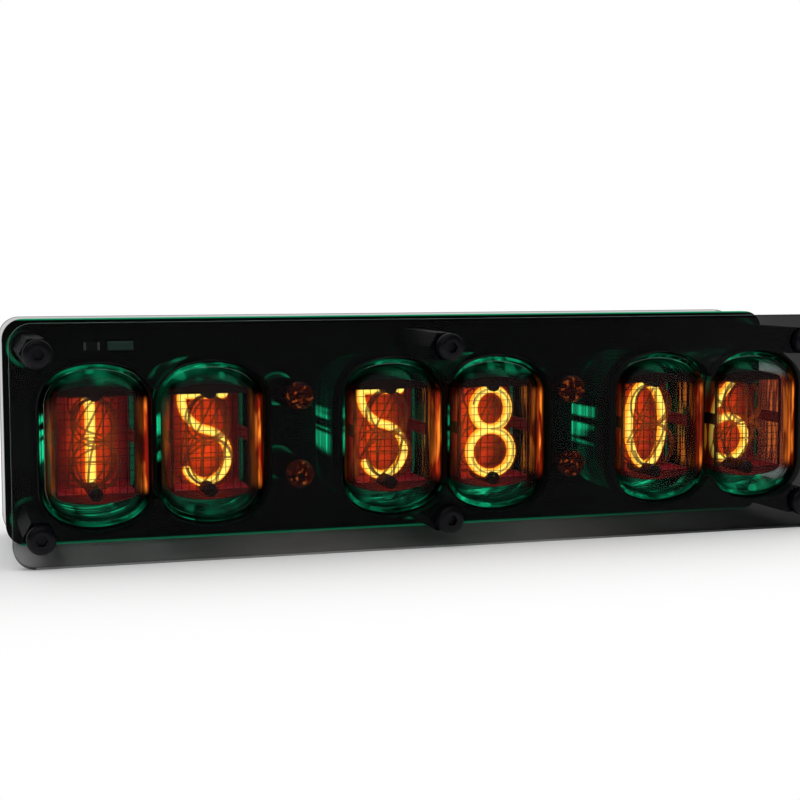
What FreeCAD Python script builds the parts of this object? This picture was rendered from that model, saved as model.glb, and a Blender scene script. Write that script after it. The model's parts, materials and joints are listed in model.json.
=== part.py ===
import FreeCAD, Part
import math
import os

# Six-tube glow-lamp clock: an upright circuit board carries six flat-faced oval display tubes and
# two pairs of colon lamps, between a smoked clear front cover and a smoked clear rear cover.
# Millimetres. +X is the viewer's right, -Y faces the viewer, +Z is up.
# The origin is the centre of the footprint, on the surface that the clock stands on.

# Covers and board
COVER_THICKNESS = 3.0
REAR_COVER_THICKNESS = 3.0
BOARD_THICKNESS = 1.6
PLATE_CORNER_RADIUS = 4.2
PLATE_EDGE_CHAMFER = 0.4
PLATE_SIDE_MARGIN = 4.85
PLATE_TOP_BAND = 7.05

# Standoffs and their screws
FRONT_STANDOFF_LENGTH = 24.0
REAR_STANDOFF_LENGTH = 12.0
STANDOFF_ACROSS_FLATS = 5.5
STANDOFF_INSET_X = 5.1
STANDOFF_INSET_Z = 5.7
SCREW_DIAMETER = 3.0
SCREW_HEAD_DIAMETER = 5.6
SCREW_HEAD_HEIGHT = 2.0
SCREW_HEAD_ROUND = 1.2
SCREW_SOCKET_DEPTH = 1.2
SCREW_SOCKET_FLATS = 2.0
SCREW_GRIP = 5.0
STUD_GRIP = 5.0
BORE_SPARE = 1.5
THREAD_GAP = 0.05
SCREW_HOLE_CLEARANCE = 0.2

# Display tubes: envelope
TUBE_PITCH = 22.0
COLON_GAP = 36.6
TUBE_DROP = 0.4
TUBE_WIDTH = 21.1
TUBE_HEIGHT = 31.0
TUBE_SIDE_RADIUS = 7.4
TUBE_END_RADIUS = 16.6
TUBE_LENGTH = 23.3
TUBE_SEAT = 2.7
GLASS_WALL = 1.0
GLASS_FACE = 1.4
GLASS_RIM_RADIUS = 2.2
WINDOW_CLEARANCE = 0.5
WINDOW_CUSP_RADIUS = 0.8

# Display tubes: base and pins
BASE_THICKNESS = 2.4
TIP_DIAMETER = 3.0
TIP_GAP = 0.5
PIN_COUNT = 12
PIN_DIAMETER = 1.0
LEAD_DIAMETER = 0.5
PIN_RING_WIDTH = 11.0
PIN_RING_HEIGHT = 19.0
PIN_TAIL = 1.0
PIN_HOLE_CLEARANCE = 0.15
RECEPTACLE_DIAMETER = 1.9
RECEPTACLE_HEIGHT = 2.0
RECEPTACLE_GAP = 0.03

# Display tubes: cathodes, tray and mesh
DIGIT_WIDTH = 9.6
DIGIT_HEIGHT = 18.0
DIGIT_SPACING = 1.04
DIGIT_COUNT = 10
CATHODE_THICKNESS = 0.25
STROKE_WIDTH = 0.45
LINK_WIDTH = 0.3
EYELET_RISE = 0.6
LINK_OVERLAP = 0.12
COLUMN_DIAMETER = 2.6
COLUMN_CORE_DIAMETER = 1.4
TRAY_WIDTH = 15.5
TRAY_HEIGHT = 22.8
TRAY_CORNER_RADIUS = 1.8
TRAY_END_RADIUS = 24.0
TRAY_WALL = 0.3
TRAY_BACK_GAP = 1.1
TRAY_LIP = 0.6
TRAY_FOOT = 0.5
TRAY_WINDOW_REACH = 9.2
TRAY_BRIDGE_HEIGHT = 2.4
TRAY_BRIDGE_RISE = 1.0
MESH_THICKNESS = 0.12
MESH_PITCH = 1.45
MESH_WIRE = 0.15
MESH_FRAME = 0.6
MESH_TO_FACE = 1.6
MESH_TO_DIGIT = 1.1
BACKPLATE_THICKNESS = 0.5
BACKPLATE_MARGIN = 0.9

# Colon lamps
LAMP_DIAMETER = 5.8
LAMP_SPACING = 15.6
LAMP_WALL = 0.5
LAMP_PRESS = 3.0
LAMP_SEAT = 0.3
LAMP_TIP_GAP = 0.7
ELECTRODE_DIAMETER = 1.0
ELECTRODE_SPACING = 2.0
ELECTRODE_TIP_GAP = 3.2

# Parts on the front of the board
LED_LENGTH = 3.5
LED_WIDTH = 2.8
LED_HEIGHT = 1.9
LED_WELL_DIAMETER = 2.4
LED_WELL_FLOOR_DIAMETER = 1.7
LED_WELL_DEPTH = 0.6
LED_SPACING = 10.0
SENSOR_LENGTH = 5.2
SENSOR_WIDTH = 1.8
SENSOR_HEIGHT = 1.1
SENSOR_EDGE_CHAMFER = 0.2
SENSOR_X = -62.0
CHIP_RESISTOR_LENGTH = 3.2
CHIP_RESISTOR_WIDTH = 1.6
CHIP_RESISTOR_HEIGHT = 0.6
SENSOR_RESISTOR_GAP = 1.6

# Parts on the back of the board
DECODER_LENGTH = 19.4
DECODER_WIDTH = 6.4
DECODER_HEIGHT = 3.6
DECODER_PIN_PITCH = 2.54
DECODER_PIN_ROWS = 7.6
DECODER_PIN_COUNT = 8
DECODER_LIFT = 0.5
DECODER_NOTCH_DIAMETER = 3.2
DECODER_NOTCH_DEPTH = 0.7
CHIP_LEAD_WIDTH = 0.5
CHIP_LEAD_THICKNESS = 0.25
FLAT_LEAD_WIDTH = 0.35
CONTROLLER_SIDE = 7.0
CONTROLLER_HEIGHT = 1.2
CONTROLLER_LEADS = 8
CONTROLLER_LEAD_PITCH = 0.8
CONTROLLER_LEAD_REACH = 0.8
TIMEKEEPER_LENGTH = 5.0
TIMEKEEPER_WIDTH = 3.9
TIMEKEEPER_HEIGHT = 1.6
TIMEKEEPER_LEADS = 4
TIMEKEEPER_LEAD_PITCH = 1.27
TIMEKEEPER_LEAD_REACH = 1.0
ANODE_DRIVER_WIDTH = 4.4
ANODE_DRIVER_DEPTH = 3.6
ANODE_DRIVER_HEIGHT = 2.0
CRYSTAL_LENGTH = 11.0
CRYSTAL_WIDTH = 4.6
CRYSTAL_HEIGHT = 3.6
CRYSTAL_LIFT = 0.4
CRYSTAL_END_RADIUS = 2.1
CELL_DIAMETER = 12.5
CELL_THICKNESS = 2.0
CELL_EDGE_RADIUS = 0.3
HOLDER_WALL = 0.6
HOLDER_FLOOR = 0.8
HOLDER_LENGTH = 16.5
HOLDER_HEIGHT = 4.0
CELL_GAP = 0.1
COIL_SIDE = 10.2
COIL_HEIGHT = 7.6
COIL_CORE_DIAMETER = 8.0
COIL_CORNER_CUT = 1.4
COIL_GROOVE_WIDTH = 0.55
COIL_GROOVE_DEPTH = 0.6
CAPACITOR_DIAMETER = 8.0
CAPACITOR_LENGTH = 11.5
CAPACITOR_LEAD = 0.6
CAPACITOR_LEAD_SPACING = 3.5
CAPACITOR_GROOVE_RADIUS = 0.24
CAPACITOR_GROOVE_INSET = 0.9
TRANSISTOR_WIDTH = 6.5
TRANSISTOR_LENGTH = 6.0
TRANSISTOR_HEIGHT = 2.3
REGULATOR_WIDTH = 6.5
REGULATOR_LENGTH = 3.5
REGULATOR_HEIGHT = 1.7
TAB_LENGTH = 1.3
TAB_SIDE_STEP = 0.65
TAB_THICKNESS = 0.5
POWER_LEAD_WIDTH = 0.8
POWER_LEAD_PITCH = 2.3
CHIP_CAPACITOR_LENGTH = 2.0
CHIP_CAPACITOR_WIDTH = 1.25
CHIP_CAPACITOR_HEIGHT = 0.9
PART_SPACING = 0.8

# Power socket
SOCKET_WIDTH = 9.0
SOCKET_HEIGHT = 3.2
SOCKET_DEPTH = 7.4
SOCKET_WALL = 0.3
TONGUE_WIDTH = 6.7
TONGUE_THICKNESS = 0.7
TONGUE_SETBACK = 0.8

# Setting buttons
BUTTON_SPACING = 8.0
BUTTON_REACH = 2.4
BUTTON_TRAVEL = 0.3
BUTTON_DIAMETER = 3.4
BUTTON_END_RADIUS = 0.5
BUTTON_HOLE_CLEARANCE = 0.4
BUTTON_GUIDE_CLEARANCE = 0.08
BUTTON_FLANGE_DIAMETER = 4.4
BUTTON_FLANGE_THICKNESS = 0.8
BUTTON_FLANGE_GAP = 0.1
SWITCH_SIDE = 6.0
SWITCH_HEIGHT = 3.6
SWITCH_LID = 0.6
SWITCH_CAVITY_DIAMETER = 4.8
CONTACT_THICKNESS = 0.1
CONTACT_RISE = 0.3
CONTACT_CROWN_DIAMETER = 2.4
CONTACT_CLEARANCE = 0.1

V = FreeCAD.Vector
OUTWARD = V(0, 1, 0)

# Places along the depth, from the front screw heads to the buttons' ends
rear_reach = max(BUTTON_REACH, SCREW_HEAD_HEIGHT)
cover_depths = COVER_THICKNESS + FRONT_STANDOFF_LENGTH + BOARD_THICKNESS
total_depth = SCREW_HEAD_HEIGHT + cover_depths + REAR_STANDOFF_LENGTH + REAR_COVER_THICKNESS + rear_reach
cover_face_y = SCREW_HEAD_HEIGHT - total_depth / 2
cover_back_y = cover_face_y + COVER_THICKNESS
board_front_y = cover_back_y + FRONT_STANDOFF_LENGTH
board_back_y = board_front_y + BOARD_THICKNESS
rear_face_y = board_back_y + REAR_STANDOFF_LENGTH
rear_back_y = rear_face_y + REAR_COVER_THICKNESS

# Outline of the covers and the board, worked out from the row of tube windows
window_width = TUBE_WIDTH + 2 * WINDOW_CLEARANCE
window_height = TUBE_HEIGHT + 2 * WINDOW_CLEARANCE
pair_step = TUBE_PITCH + COLON_GAP
outer_tube_x = TUBE_PITCH * 1.5 + COLON_GAP
plate_width = 2 * (outer_tube_x + window_width / 2 + PLATE_SIDE_MARGIN)
plate_height = window_height + 2 * PLATE_TOP_BAND
plate_z = plate_height / 2
pair_x = [step * pair_step for step in (-1, 0, 1)]
tube_x = [middle + side * TUBE_PITCH / 2 for middle in pair_x for side in (-1, 1)]
tube_z = plate_z - TUBE_DROP
colon_x = [side * pair_step / 2 for side in (-1, 1)]
lamp_z = [plate_z + side * LAMP_SPACING / 2 for side in (-1, 1)]
standoff_x = plate_width / 2 - STANDOFF_INSET_X
standoff_z = plate_height / 2 - STANDOFF_INSET_Z
standoff_z_places = [plate_z + side * standoff_z for side in (-1, 1)]
standoff_places = [(x, z) for x in (-standoff_x, 0, standoff_x) for z in standoff_z_places]

# Places inside a tube, along its axis
tube_back_y = board_front_y - TUBE_SEAT
tube_face_y = tube_back_y - TUBE_LENGTH
base_inner_y = tube_back_y - BASE_THICKNESS
mesh_y = tube_face_y + GLASS_FACE + MESH_TO_FACE
first_digit_y = mesh_y + MESH_TO_DIGIT
last_digit_y = first_digit_y + (DIGIT_COUNT - 1) * DIGIT_SPACING
tray_floor_y = last_digit_y + TRAY_BACK_GAP
tray_back_y = tray_floor_y + TRAY_WALL
backplate_y = tray_back_y + BACKPLATE_THICKNESS
eyelet_z = DIGIT_HEIGHT / 2 + EYELET_RISE


def block(x, z, width, height, y0, y1):
    """A box centred on x, z that runs from y0 to y1."""
    return Part.makeBox(width, y1 - y0, height, V(x - width / 2, y0, z - height / 2))


def rod(x, z, diameter, y0, y1):
    """A round bar along the depth."""
    return Part.makeCylinder(diameter / 2, y1 - y0, V(x, y0, z), OUTWARD)


def ring(x, z, outer, inner, y0, y1):
    """A round bar with a bore through it."""
    return rod(x, z, outer, y0, y1).cut(rod(x, z, inner, y0, y1))


def hexagon_bar(x, z, across_flats, y0, y1):
    """A six-sided bar along the depth, with a flat at the top."""
    radius = across_flats / math.sqrt(3)
    angles = [math.radians(60 * k) for k in range(6)]
    points = [V(x + radius * math.cos(a), y0, z + radius * math.sin(a)) for a in angles]
    face = Part.Face(Part.makePolygon(points + points[:1]))
    return face.extrude(V(0, y1 - y0, 0))


def arc_edge(start, middle, end):
    """A circular edge through three (x, z) points."""
    return Part.Arc(*[V(x, 0, z) for x, z in (start, middle, end)]).toShape()


def line_edge(start, end):
    """A straight edge between two (x, z) points."""
    return Part.makeLine(V(start[0], 0, start[1]), V(end[0], 0, end[1]))


def prism(face, x, z, y0, y1):
    """A flat face drawn about the origin, moved to x, z and given a depth."""
    placed = face.copy()
    placed.translate(V(x, y0, z))
    return placed.extrude(V(0, y1 - y0, 0))


def corner_centre(width, height, side_radius, end_radius):
    """Where an oval's corner arc is centred, so that it meets the side and the end arc smoothly."""
    x = width / 2 - side_radius
    end_z = height / 2 - end_radius
    z = end_z + math.sqrt((end_radius - side_radius) ** 2 - x ** 2)
    return x, z, end_z


def oval_face(width, height, side_radius, end_radius):
    """An upright oval: straight sides, corner arcs, and a flatter arc at each end."""
    x, z, end_z = corner_centre(width, height, side_radius, end_radius)
    lean = math.atan2(x, z - end_z)
    half_lean = (lean + math.pi / 2) / 2
    join = (x + side_radius * math.sin(lean), z + side_radius * math.cos(lean))
    bend = (x + side_radius * math.sin(half_lean), z + side_radius * math.cos(half_lean))
    side = width / 2
    top = height / 2

    def edges_of(sx, sz):
        return arc_edge((sx * side, sz * z), (sx * bend[0], sz * bend[1]), (sx * join[0], sz * join[1]))

    corners = [edges_of(sx, sz) for sx in (-1, 1) for sz in (-1, 1)]
    ends = [arc_edge((-join[0], s * join[1]), (0, s * top), (join[0], s * join[1])) for s in (-1, 1)]
    sides = [line_edge((s * side, -z), (s * side, z)) for s in (-1, 1)]
    ordered = Part.sortEdges(corners + ends + sides)[0]
    return Part.Face(Part.Wire(ordered))


def grown_oval(growth):
    """The tube's own outline, grown or shrunk evenly all round."""
    return oval_face(
        TUBE_WIDTH + 2 * growth,
        TUBE_HEIGHT + 2 * growth,
        TUBE_SIDE_RADIUS + growth,
        TUBE_END_RADIUS + growth,
    )


def rounded_plate(y0, y1):
    """A cover or board blank: a plate with four rounded corners."""
    plate = block(0, plate_z, plate_width, plate_height, y0, y1)
    corners = [e for e in plate.Edges if abs(e.tangentAt(0).y) > 0.5]
    return plate.makeFillet(PLATE_CORNER_RADIUS, corners)


def eased_plate(y0, y1):
    """A cover blank whose outer edges are eased by a small chamfer."""
    plate = rounded_plate(y0, y1)
    rims = [e for e in plate.Edges if e.BoundBox.YLength < 1e-6]
    return plate.makeChamfer(PLATE_EDGE_CHAMFER, rims)


def edges_at(shape, y):
    """The edges of a shape that lie in one plane across the depth."""
    return [e for e in shape.Edges if abs(e.BoundBox.YMin - y) < 1e-4 and abs(e.BoundBox.YMax - y) < 1e-4]


def moved(shape, x, y, z):
    """A copy of a shape, shifted."""
    placed = shape.copy()
    placed.translate(V(x, y, z))
    return placed


def at_each_tube(shape):
    """Six copies of a shape that was made about x = 0, z = 0."""
    return [moved(shape, x, 0, tube_z) for x in tube_x]


def save(node, solids):
    """Write one named sub-part, made of one or more separate solids."""
    shape = solids[0] if len(solids) == 1 else Part.makeCompound(solids)
    shape.exportStep("parts/" + node + ".step")
    print(node, len(solids), "solids", round(sum(s.Volume for s in solids), 2), "mm3")


# Front cover: smoked clear plate with one merged window for each pair of tubes
def window_cusp(middle, side):
    """The rounded point of plate between two windows that run into each other."""
    radius = TUBE_SIDE_RADIUS + WINDOW_CLEARANCE
    x, z, _ = corner_centre(window_width, window_height, radius, TUBE_END_RADIUS + WINDOW_CLEARANCE)
    reach = TUBE_PITCH / 2 - x
    drop = math.sqrt((radius + WINDOW_CUSP_RADIUS) ** 2 - reach ** 2)
    share = WINDOW_CUSP_RADIUS / (radius + WINDOW_CUSP_RADIUS)
    half_width = reach * share
    height = z + drop - drop * share
    slot = block(middle, tube_z + side * height / 2, 2 * half_width, height, cover_face_y, cover_back_y)
    point = rod(middle, tube_z + side * (z + drop), 2 * WINDOW_CUSP_RADIUS, cover_face_y, cover_back_y)
    return slot.cut(point)


def pair_window(middle):
    """The opening for two neighbouring tubes."""
    oval = grown_oval(WINDOW_CLEARANCE)
    cutters = [
        prism(oval, middle + side * TUBE_PITCH / 2, tube_z, cover_face_y, cover_back_y) for side in (-1, 1)
    ]
    if TUBE_PITCH < window_width:
        cutters += [window_cusp(middle, side) for side in (-1, 1)]
    return cutters[0].fuse(cutters[1:])


def front_cover():
    plate = eased_plate(cover_face_y, cover_back_y)
    hole = SCREW_DIAMETER + 2 * SCREW_HOLE_CLEARANCE
    holes = [rod(x, z, hole, cover_face_y, cover_back_y) for x, z in standoff_places]
    return plate.cut([pair_window(middle) for middle in pair_x] + holes)


# Circuit board with its screw holes, tube pin holes and lamp lead holes
def pin_offsets():
    """The tube pins stand on an ellipse, evenly by angle, seen from the tube's centre."""
    angles = [math.radians(360 / PIN_COUNT * (k + 0.5)) for k in range(PIN_COUNT)]
    return [(PIN_RING_WIDTH / 2 * math.sin(a), PIN_RING_HEIGHT / 2 * math.cos(a)) for a in angles]


def pin_places():
    return [(x + dx, tube_z + dz) for x in tube_x for dx, dz in pin_offsets()]


def lamp_places():
    return [(x, z) for x in colon_x for z in lamp_z]


def lead_places():
    return [(x + side * ELECTRODE_SPACING / 2, z) for x, z in lamp_places() for side in (-1, 1)]


def tube_board():
    board = rounded_plate(board_front_y, board_back_y)
    screw_hole = SCREW_DIAMETER + 2 * SCREW_HOLE_CLEARANCE
    pin_hole = PIN_DIAMETER + 2 * PIN_HOLE_CLEARANCE
    lead_hole = LEAD_DIAMETER + 2 * PIN_HOLE_CLEARANCE
    span = (board_front_y, board_back_y)
    holes = [rod(x, z, screw_hole, *span) for x, z in standoff_places]
    holes += [rod(x, z, pin_hole, *span) for x, z in pin_places()]
    holes += [rod(x, z, lead_hole, *span) for x, z in lead_places()]
    return board.cut(holes)


# Rear cover: smoked clear plate with the screw holes and the holes for the setting buttons
outer_pin_x = outer_tube_x + PIN_RING_WIDTH / 2 + PIN_DIAMETER / 2
end_zone_x = (plate_width / 2 + outer_pin_x) / 2
button_names = ("hour_button", "mode_button", "minute_button")
button_places = [(-end_zone_x, plate_z + (k - 1) * BUTTON_SPACING) for k in range(len(button_names))]


def rear_cover():
    plate = eased_plate(rear_face_y, rear_back_y)
    screw_hole = SCREW_DIAMETER + 2 * SCREW_HOLE_CLEARANCE
    button_hole = BUTTON_DIAMETER + 2 * BUTTON_HOLE_CLEARANCE
    holes = [rod(x, z, screw_hole, rear_face_y, rear_back_y) for x, z in standoff_places]
    holes += [rod(x, z, button_hole, rear_face_y, rear_back_y) for x, z in button_places]
    return plate.cut(holes)


# Standoffs and screws
bore_diameter = SCREW_DIAMETER + 2 * THREAD_GAP
screw_reach = COVER_THICKNESS + SCREW_GRIP


def front_standoff(x, z):
    bar = hexagon_bar(x, z, STANDOFF_ACROSS_FLATS, cover_back_y, board_front_y)
    front_bore = rod(x, z, bore_diameter, cover_back_y, cover_back_y + SCREW_GRIP + BORE_SPARE)
    stud_bore = rod(x, z, bore_diameter, board_front_y - STUD_GRIP - BORE_SPARE, board_front_y)
    return bar.cut([front_bore, stud_bore])


def rear_standoff(x, z):
    """The rear spacer, with a stud that clamps the board against the front spacer."""
    bar = hexagon_bar(x, z, STANDOFF_ACROSS_FLATS, board_back_y, rear_face_y)
    bore = rod(x, z, bore_diameter, rear_face_y - SCREW_GRIP - BORE_SPARE, rear_face_y)
    stud = rod(x, z, SCREW_DIAMETER, board_front_y - STUD_GRIP, board_back_y)
    return bar.cut(bore).fuse(stud)


def screw(x, z, head_y, toward):
    """A domed-head screw whose head rests on a cover at head_y; toward is the way it is driven."""
    head_top = head_y - toward * SCREW_HEAD_HEIGHT
    low, high = sorted((head_y, head_top))
    head = rod(x, z, SCREW_HEAD_DIAMETER, low, high)
    head = head.makeFillet(SCREW_HEAD_ROUND, edges_at(head, head_top))
    low, high = sorted((head_top, head_top + toward * SCREW_SOCKET_DEPTH))
    socket = hexagon_bar(x, z, SCREW_SOCKET_FLATS, low, high)
    low, high = sorted((head_y, head_y + toward * screw_reach))
    return head.cut(socket).fuse(rod(x, z, SCREW_DIAMETER, low, high))


# Display tube: glass envelope, base with its seal tip, pins and board receptacles
def tube_glass():
    outer = prism(grown_oval(0), 0, 0, tube_face_y, tube_back_y)
    outer = outer.makeFillet(GLASS_RIM_RADIUS, edges_at(outer, tube_face_y))
    cavity_face_y = tube_face_y + GLASS_FACE
    cavity = prism(grown_oval(-GLASS_WALL), 0, 0, cavity_face_y, tube_back_y)
    cavity = cavity.makeFillet(GLASS_RIM_RADIUS - GLASS_WALL, edges_at(cavity, cavity_face_y))
    return outer.cut(cavity)


def tube_base():
    """The pressed glass base, with a hole for each pin and the tip where the tube was sealed."""
    base = prism(grown_oval(-GLASS_WALL), 0, 0, base_inner_y, tube_back_y)
    tip_length = TUBE_SEAT - TIP_GAP
    tip = Part.makeCone(TIP_DIAMETER / 2, TIP_DIAMETER / 4, tip_length, V(0, tube_back_y, 0), OUTWARD)
    holes = [rod(dx, dz, PIN_DIAMETER, base_inner_y, tube_back_y) for dx, dz in pin_offsets()]
    return base.cut(holes).fuse(tip)


def tube_pin():
    """One pin: a stout outer leg through the base and the board, and a thin lead inside the tube."""
    leg = rod(0, 0, PIN_DIAMETER, base_inner_y, board_back_y + PIN_TAIL)
    lead = rod(0, 0, LEAD_DIAMETER, backplate_y, base_inner_y)
    return leg.fuse(lead)


def pin_receptacle():
    bore = PIN_DIAMETER + 2 * RECEPTACLE_GAP
    return ring(0, 0, RECEPTACLE_DIAMETER, bore, board_front_y - RECEPTACLE_HEIGHT, board_front_y)


# Display tube: metal tray, wire mesh, insulating columns and backplate
def tray_oval(growth):
    return oval_face(
        TRAY_WIDTH + 2 * growth,
        TRAY_HEIGHT + 2 * growth,
        TRAY_CORNER_RADIUS + growth,
        TRAY_END_RADIUS + growth,
    )


def tray_window(z0, z1):
    """An opening through both side walls, from z0 to z1, between the front lip and the floor."""
    middle_z = (z0 + z1) / 2
    return block(0, middle_z, 2 * TRAY_WIDTH, z1 - z0, mesh_y + TRAY_LIP, tray_floor_y - TRAY_FOOT)


def tube_tray():
    """The tray: a shell with two windows in each side wall, which a bridge parts."""
    outer = prism(tray_oval(0), 0, 0, mesh_y, tray_back_y)
    hollow = prism(tray_oval(-TRAY_WALL), 0, 0, mesh_y, tray_floor_y)
    bridge_low = TRAY_BRIDGE_RISE - TRAY_BRIDGE_HEIGHT / 2
    bridge_high = TRAY_BRIDGE_RISE + TRAY_BRIDGE_HEIGHT / 2
    windows = [tray_window(-TRAY_WINDOW_REACH, bridge_low), tray_window(bridge_high, TRAY_WINDOW_REACH)]
    return outer.cut(hollow).cut(windows)


def tube_mesh():
    """The anode mesh: one thin sheet with a grid of square holes inside its frame."""
    sheet = prism(tray_oval(0), 0, 0, mesh_y - MESH_THICKNESS, mesh_y)
    _, end_z, _ = corner_centre(TRAY_WIDTH, TRAY_HEIGHT, TRAY_CORNER_RADIUS, TRAY_END_RADIUS)
    hole = MESH_PITCH - MESH_WIRE
    columns = int((TRAY_WIDTH - MESH_FRAME) / MESH_PITCH)
    rows = int((2 * end_z + 2 * TRAY_CORNER_RADIUS - 2 * MESH_FRAME) / MESH_PITCH)
    holes = []
    for column in range(columns):
        for row in range(rows):
            x = (column - (columns - 1) / 2) * MESH_PITCH
            z = (row - (rows - 1) / 2) * MESH_PITCH
            holes.append(block(x, z, hole, hole, mesh_y - MESH_THICKNESS, mesh_y))
    return sheet.cut(holes)


def digit_y(layer):
    """The mid plane of one cathode; layer 0 is nearest the viewer."""
    return first_digit_y + layer * DIGIT_SPACING


def insulating_column(side):
    """A ceramic column, grooved where each cathode's eyelet sits on it."""
    z = side * eyelet_z
    column = rod(0, z, COLUMN_DIAMETER, mesh_y, tray_floor_y)
    grooves = []
    for layer in range(DIGIT_COUNT):
        low = digit_y(layer) - CATHODE_THICKNESS / 2
        high = low + CATHODE_THICKNESS
        grooves.append(ring(0, z, 2 * COLUMN_DIAMETER, COLUMN_CORE_DIAMETER, low, high))
    return column.cut(grooves)


def tube_backplate():
    """The insulating plate behind the tray, which the leads hold."""
    return prism(grown_oval(-GLASS_WALL - BACKPLATE_MARGIN), 0, 0, tray_back_y, backplate_y)


# Cathodes: each digit is cut from sheet as a thin outline. Its strokes are open paths of lines and arcs,
# closed loops and straight bars, all in shares of the digit's half width and half height.
half_digit_width = (DIGIT_WIDTH - STROKE_WIDTH) / 2
half_digit_height = (DIGIT_HEIGHT - STROKE_WIDTH) / 2


def flipped(paths, sx, sz):
    """The same paths turned over left to right or top to bottom, as the same sheet part reversed."""
    return [[tuple((sx * x, sz * z) for x, z in piece) for piece in path] for path in paths]


five = [
    [
        ((1, 1), (-1, 1)),
        ((-1, 1), (-0.66, 0.42), (0.12, 0.18)),
        ((0.12, 0.18), (0.98, -0.42), (-0.05, -1)),
        ((-0.05, -1), (-0.55, -0.89), (-0.86, -0.62)),
    ]
]
six = [
    [
        ((0.32, 1), (-0.58, 0.36), (-0.95, -0.47)),
        ((-0.95, -0.47), (-0.67, -0.845), (0, -1)),
        ((0, -1), (0.67, -0.845), (0.95, -0.47)),
        ((0.95, -0.47), (0.67, -0.095), (0, 0.06)),
        ((0, 0.06), (-0.45, 0), (-0.8, -0.2)),
    ]
]
three = [
    [((-0.88, 0.66), (0.05, 1), (0.84, 0.5)), ((0.84, 0.5), (0.58, 0.17), (0.02, 0.06))],
    [((-0.03, 0.05), (0.72, -0.09), (1, -0.48)), ((1, -0.48), (0.05, -1), (-0.95, -0.6))],
]
DIGIT_PATHS = {
    1: [[((-0.26, 1), (0, 0.78)), ((0, 0.78), (0, -1))]],
    2: flipped(five, 1, -1),
    3: three,
    4: [[((0.4, 1), (-1, -0.42)), ((-1, -0.42), (1, -0.42))]],
    5: five,
    6: six,
    7: [[((-1, 1), (1, 1)), ((1, 1), (0.16, 0.1), (-0.2, -1))]],
    9: flipped(six, -1, -1),
}
# Closed loops: centre x and z, half width and half height
DIGIT_LOOPS = {0: [(0, 0, 0.86, 1)], 8: [(0, 0.53, 0.82, 0.47), (0, -0.48, 1, 0.52)]}
DIGIT_BARS = {4: [((0.4, 0.99), (0.4, -1))]}
# Front to back order of the cathodes in the stack
DIGIT_ORDER = (3, 8, 9, 4, 0, 5, 7, 2, 6, 1)
# Where a digit's own outline is off to one side, a short link joins it to each eyelet
DIGIT_LINKS = {1: (-0.26, 0), 4: (0.4, 0.4), 6: (0.32, 0), 7: (0, -0.2), 9: (0, -0.32)}


def at_size(share):
    """A point of a path at its real size."""
    return share[0] * half_digit_width, share[1] * half_digit_height


def path_face(path):
    """An open path of lines and arcs with a width and round ends."""
    edges = []
    for piece in path:
        points = [at_size(share) for share in piece]
        edges.append(arc_edge(*points) if len(points) == 3 else line_edge(*points))
    return Part.Face(Part.Wire(edges).makeOffset2D(STROKE_WIDTH / 2))


def loop_face(loop, growth):
    """A closed loop, grown evenly: four arcs that meet smoothly at an ellipse's 45 degree points."""
    x, z = at_size(loop[:2])
    wide, high = at_size(loop[2:])
    lean = math.atan2(high, wide)
    sine, cosine = math.sin(lean), math.cos(lean)
    share = sine + cosine - 1
    end_radius = (wide * cosine - high * (1 - sine)) / share + growth
    side_radius = (high * sine - wide * (1 - cosine)) / share + growth
    side_x = wide + growth
    end_z = high + growth
    join = (end_radius * sine, end_z - end_radius + end_radius * cosine)
    joins = [(x + sx * join[0], z + sz * join[1]) for sx, sz in ((-1, 1), (1, 1), (1, -1), (-1, -1))]
    tips = [(x, z + end_z), (x + side_x, z), (x, z - end_z), (x - side_x, z)]
    arcs = [arc_edge(joins[k], tips[k], joins[(k + 1) % len(joins)]) for k in range(len(joins))]
    return Part.Face(Part.Wire(arcs))


def bar_face(start, end, width):
    """A straight bar between two points given at their real size."""
    start, end = V(start[0], 0, start[1]), V(end[0], 0, end[1])
    across = (end - start).normalize().cross(OUTWARD) * (width / 2)
    corners = [start + across, end + across, end - across, start - across]
    return Part.Face(Part.makePolygon(corners + corners[:1]))


def link_face(share, side):
    """The short straight link from an eyelet to the end of a stroke."""
    eyelet_edge = COLUMN_DIAMETER / 2 - LINK_OVERLAP
    return bar_face((math.copysign(eyelet_edge, share), side * eyelet_z), at_size((share, side)), LINK_WIDTH)


def stroke_solids(digit, low, high):
    """A digit's strokes and links; a loop's hollow stays clear of the loop that joins it."""
    faces = [path_face(path) for path in DIGIT_PATHS.get(digit, [])]
    bars = DIGIT_BARS.get(digit, [])
    faces += [bar_face(at_size(start), at_size(end), STROKE_WIDTH) for start, end in bars]
    links = zip(DIGIT_LINKS.get(digit, (0, 0)), (1, -1))
    faces += [link_face(share, side) for share, side in links if share]
    solids = [prism(face, 0, 0, low, high) for face in faces]
    loops = DIGIT_LOOPS.get(digit, [])
    hollows = [prism(loop_face(loop, -STROKE_WIDTH / 2), 0, 0, low, high) for loop in loops]
    solids += [prism(loop_face(loop, STROKE_WIDTH / 2), 0, 0, low, high).cut(hollows) for loop in loops]
    return solids


def cathode(digit, layer):
    """One digit, with an eyelet at its top and bottom that the insulating columns pass through."""
    low = digit_y(layer) - CATHODE_THICKNESS / 2
    high = low + CATHODE_THICKNESS
    eyes = [rod(0, side * eyelet_z, COLUMN_DIAMETER, low, high) for side in (-1, 1)]
    cores = [rod(0, side * eyelet_z, COLUMN_CORE_DIAMETER, low, high) for side in (-1, 1)]
    return eyes[0].fuse(eyes[1:] + stroke_solids(digit, low, high)).cut(cores).removeSplitter().Solids[0]


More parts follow.
